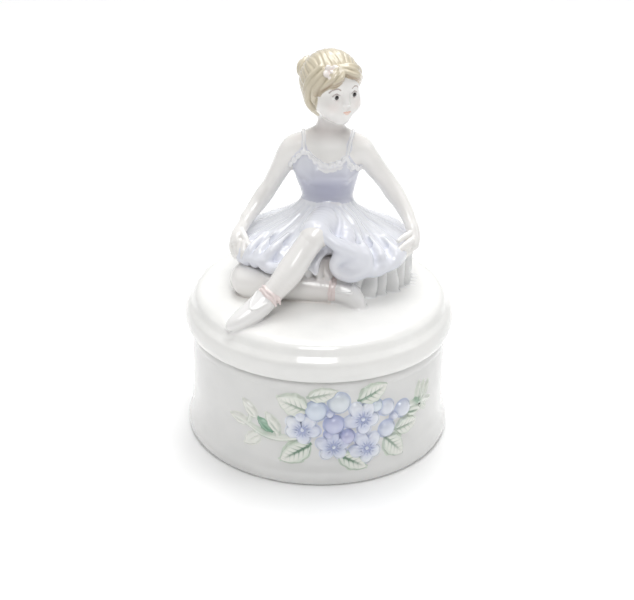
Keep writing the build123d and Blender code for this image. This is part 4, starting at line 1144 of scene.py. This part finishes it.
petals_, berries_, leaves_, stems_, cuts_ = [], [], [], [], []
centres_ = []
for (th, z0), R, ps_ in FLOWERS:
    a0 = arc(th)
    centres_.append((a0, z0, R))
    for j, (da, dz) in enumerate(ps_):
        L = math.hypot(da, dz)
        e = np.array([da / L, 0, dz / L])
        t = np.array([-dz / L, 0, da / L])
        c = flat(a0 + e[0] * R * .60, z0 + e[2] * R * .60, .75 + .18 * (j % 2))
        n_ = np.cross(e, t)
        tilt = .16
        ax_ = np.array([e - n_ * 0 + np.array([0, -tilt, 0]), t, np.array([0, -1.0, 0]) - e * tilt * -1.0])
        ax_[0] /= np.linalg.norm(ax_[0])
        ax_[2] = np.array([e[0] * tilt, -1, e[2] * tilt])
        ax_[2] /= np.linalg.norm(ax_[2])
        petals_.append(blob(c, (R * .46, R * .40, 1.25), ax_, .22))
        dish = blob(flat(a0 + e[0] * R * .64, z0 + e[2] * R * .64, 2.75), (R * .30, R * .27, 1.05), ax_, .7)
        dish.cut = True
        cuts_.append(dish)
        for side in (-.5, 0, .5):
            d_ = e + t * side
            d_ /= np.linalg.norm(d_)
            g_ = cone(flat(a0 + d_[0] * R * .16, z0 + d_[2] * R * .16, 1.75), flat(a0 + d_[0] * R * (.62 if side else .78), z0 + d_[2] * R * (.62 if side else .78), 2.02), .30, .12, .3)
            g_.cut = True
            cuts_.append(g_)
    petals_.append(blob(flat(a0, z0, 1.25), (1.25, .95, 1.25), k=.3))
for th, z0, r, w in BERRIES:
    berries_.append(blob(flat(arc(th), z0, 0.0), (r, w, r), k=.22))


def leaf_shape(th, z0, L, Wd, spin, green, lift):
    a0, c, s = arc(th), math.cos(math.radians(spin)), math.sin(math.radians(spin))

    def local(x, z):
        da, dz = x - a0, z - z0
        return da * c + dz * s, -da * s + dz * c

    def fn(x, y, z):
        p, q = local(x, z)
        t = np.clip(p / L, -1.2, 1.2)
        hw = Wd * np.power(np.clip(1 - np.abs(t) ** 2.1, 0, 1), .85) * (1 - .22 * t) * (1 + .05 * np.sin(11 * t + 1))
        o = np.maximum(np.abs(q) - hw, np.abs(p) - L) * .8
        rel = np.clip(np.abs(q) / np.maximum(hw, .2), 0, 1)
        h = lift * (.62 + .38 * np.sqrt(np.clip(1 - t * t, 0, 1))) + .30 * (rel - .5) * (1 if Wd > 2.4 else -1.4)
        h = h - .42 * np.exp(-(q / .30) ** 2) * np.clip(1.05 - t, 0, 1)
        if Wd > 2.4:
            vein = np.sin((p - np.abs(q) * .75) * 2.9 + 1)
            h = h - .17 * np.clip(vein, 0, 1) ** 3 * np.clip(rel * 4, 0, 1) * (1 - rel * .55)
        return smax((-y - h) * .85, o, .55)
    sh = Shape(fn, (a0 - L - .5, -2.4, z0 - L - .5), (a0 + L + .5, 1.0, z0 + L + .5), .35)
    sh.local, sh.L, sh.W, sh.green = local, L, Wd, green
    return sh


leaves_ = [leaf_shape(*l) for l in LEAVES]
for st in STEMS:
    stems_.append(tube([(arc(a), -.15 - r * .1, z, r) for a, z, r in st], 5, .5))

rclay = Clay((arc(-45), -3.4, 6.0), (arc(64), 1.4, 47.0), HR)
for sh in stems_ + leaves_ + petals_:
    rclay.apply(sh)
for sh in cuts_:
    rclay.apply(sh)
for sh in berries_:
    rclay.apply(sh)
shapes_only = rclay.D.copy()
gy = (rclay.lo[1] + rclay.h * np.arange(rclay.n[1])).astype(f32)[None, :, None]
rclay.D = smin(rclay.D, -(gy - .03) + 0 * rclay.D, .9)
rclay.D = np.maximum(np.maximum(rclay.D, shapes_only - 1.3), gy - .75)
del shapes_only
rp, rq = rclay.mesh()
rp, rn, rcav, _ = finish_surface(rp, rq, 1)
groups = {"blossom": petals_ + berries_, "leaf": leaves_, "stem": stems_}
pf32 = rp.astype(f32)


def nearest(shapes):
    out = np.full((len(shapes), len(rp)), 9.0, f32)
    for i, sh in enumerate(shapes):
        idx = np.flatnonzero(np.all((rp > sh.lo - 2) & (rp < sh.hi + 2), axis=1))
        if len(idx):
            out[i, idx] = sh.fn(pf32[idx, 0], pf32[idx, 1], pf32[idx, 2])
    return out


db, dl, ds = nearest(groups["blossom"]), nearest(leaves_), nearest(stems_)
rl = np.argmin(np.stack([db.min(0) - .1, dl.min(0), ds.min(0)]), 0)
# painted shade: how deep a relief point lies in a hollow, used to darken it
relief_hollow_shade = np.clip(rcav / .13, 0, 1)[:, None]
# painted highlight: how far a relief point stands out on a ridge, used to lighten it
relief_ridge_highlight = np.clip(-rcav / .13, 0, 1)[:, None]
tint = np.tile(np.array(lin(.945, .945, .938)), (len(rp), 1))
A_, Wo, Zr = rp[:, 0], -rp[:, 1], rp[:, 2]
# blossoms: deeper blue towards the middle of the bunch and the heart of each flower
heart = np.exp(-(((A_ - arc(10)) / 13) ** 2 + ((Zr - 23) / 9) ** 2))[:, None]
PETAL_T, PETAL_D = np.array(lin(.925, .938, .962)), np.array(lin(.790, .812, .905))
base_ = PETAL_T * (1 - heart * .75) + PETAL_D * heart * .75
m = rl == 0
tint[m] = base_[m]
for a0, z0, R in centres_:
    r_ = np.hypot(A_ - a0, Zr - z0)
    k_ = np.clip(1 - (r_ - 1.2) / (R * .62), 0, 1) * (r_ < R) * (db[:len(petals_)].min(0) < db[len(petals_):].min(0) + .1)
    blend_to(m, np.array(lin(.66, .70, .85)), (k_ ** 1.3 * .75)[m])
    blend_to(m, np.array(lin(.90, .92, .96)), (step(-r_, -1.25, -.9) * (Wo > 1.6) * .8)[m])
nb = np.argmin(db[len(petals_):], 0)
isb = m & (db[len(petals_):].min(0) < db[:len(petals_)].min(0))
tones = [lin(.865, .900, .950), lin(.880, .905, .925), lin(.780, .795, .905), lin(.84, .85, .92), lin(.90, .92, .96), lin(.765, .770, .885), lin(.880, .900, .950), lin(.900, .915, .950), lin(.895, .912, .955), lin(.90, .91, .95), lin(.76, .775, .885), lin(.87, .905, .935)]
for i, t_ in enumerate(tones):
    mm = isb & (nb == i)
    th, z0, r, w = BERRIES[i]
    rr = np.hypot(A_ - arc(th), Zr - z0) / r
    tint[mm] = np.array(t_)
    # painted shade towards each berry's rim and painted highlight in its middle
    blend_to(mm, np.array(lin(.66, .71, .85)), (np.clip((rr - .70) / .4, 0, 1) * .45)[mm])
    blend_to(mm, np.array(lin(.95, .965, .985)), (np.clip(.55 - rr, 0, 1) * .35)[mm])
# painted shade: blossoms darker and bluer in their hollows
blend_to(m, np.array(lin(.56, .61, .80)), relief_hollow_shade[m] * .62)
# painted highlight: blossoms lighter on their ridges
blend_to(m, np.array(lin(.955, .965, .985)), relief_ridge_highlight[m] * .30)
# leaves: cream with green veins and a thin green edge
nl = np.argmin(dl, 0)
for i, sh in enumerate(leaves_):
    mm = (rl == 1) & (nl == i)
    p_, q_ = sh.local(A_, Zr)
    t_ = np.clip(p_ / sh.L, -1, 1)
    hw_ = np.maximum(sh.W * np.power(np.clip(1 - np.abs(t_) ** 2.1, 0, 1), .85) * (1 - .22 * t_), .2)
    rel_ = np.clip(np.abs(q_) / hw_, 0, 1.3)
    tint[mm] = np.array(lin(.940, .942, .915))
    g_ = min(sh.green, 1.0)
    blend_to(mm, np.array(lin(.74, .82, .74)), (np.clip((rel_ - .62) / .35, 0, 1) * .60 * g_)[mm])
    blend_to(mm, np.array(lin(.80, .85, .79)), (np.clip(.6 - t_, 0, 1) * .30 * g_)[mm])
    vein_ = np.exp(-(q_ / .52) ** 2) * np.clip(.75 - t_, 0, 1)
    side_ = np.clip(np.sin((p_ - np.abs(q_) * .75) * 2.9 + 1), 0, 1) ** 2 * np.clip(.8 - rel_, 0, 1) * np.clip(.7 - t_, 0, 1)
    blend_to(mm, np.array(lin(.30, .50, .38)), (np.clip(vein_ * 1.25 + side_ * (1.25 if sh.W > 2.4 else 0), 0, 1) * .85 * g_)[mm])
    if sh.green > 1.1:
        blend_to(mm, np.array(lin(.47, .67, .56)), np.full(int(mm.sum()), .72))
m = rl == 1
# painted shade: leaves darker in their hollows
blend_to(m, np.array(lin(.60, .66, .60)), relief_hollow_shade[m] * .40)
m = rl == 2
tint[m] = np.array(lin(.925, .935, .905))
# painted shade: stems darker in their hollows
blend_to(m, np.array(lin(.62, .72, .64)), relief_hollow_shade[m] * .5)
blend_to(m, np.array(lin(.50, .66, .55)), (np.exp(-((A_ - arc(48.5)) / 2.2) ** 2) * .75 + np.exp(-((A_ - arc(-24)) / 3.0) ** 2) * .25)[m])

# the wall's outer radius at each height
wall_z = np.array([0, .6, 2.2, 4.4, 6.8, 9.2, 12.5, 18, 30, 42, 45.9, 47.05])
wall_r = np.array([50.5, 51.9, 52.9, 53.2, 52.75, 51.9, 51.35, 51.2, 51.25, 51.35, 51.2, 50.6])
wsp = spline(np.stack([wall_z, wall_r], 1), 8)
rad = np.interp(Zr, wsp[:, 0], wsp[:, 1]) + Wo
ang = A_ / RW
bent = np.stack([rad * np.sin(ang), -rad * np.cos(ang), Zr], 1)
cs_, sn_ = np.cos(ang), np.sin(ang)
bn = np.stack([rn[:, 0] * cs_ - rn[:, 1] * sn_, rn[:, 0] * sn_ + rn[:, 1] * cs_, rn[:, 2]], 1)
vlr = np.sort(rl[rq], 1)
rql = np.where(vlr[:, 1] == vlr[:, 2], vlr[:, 1], np.where(vlr[:, 2] == vlr[:, 3], vlr[:, 2], vlr[:, 0]))
for i, (n, slot) in enumerate((("blossom_relief", "blossom"), ("leaf_relief", "leaf"), ("stem_relief", "leaf"))):
    make_piece(n + "_glazed", bent, rq, bn, tint, MAT["relief"], rql == i, "base", (n,), .35)
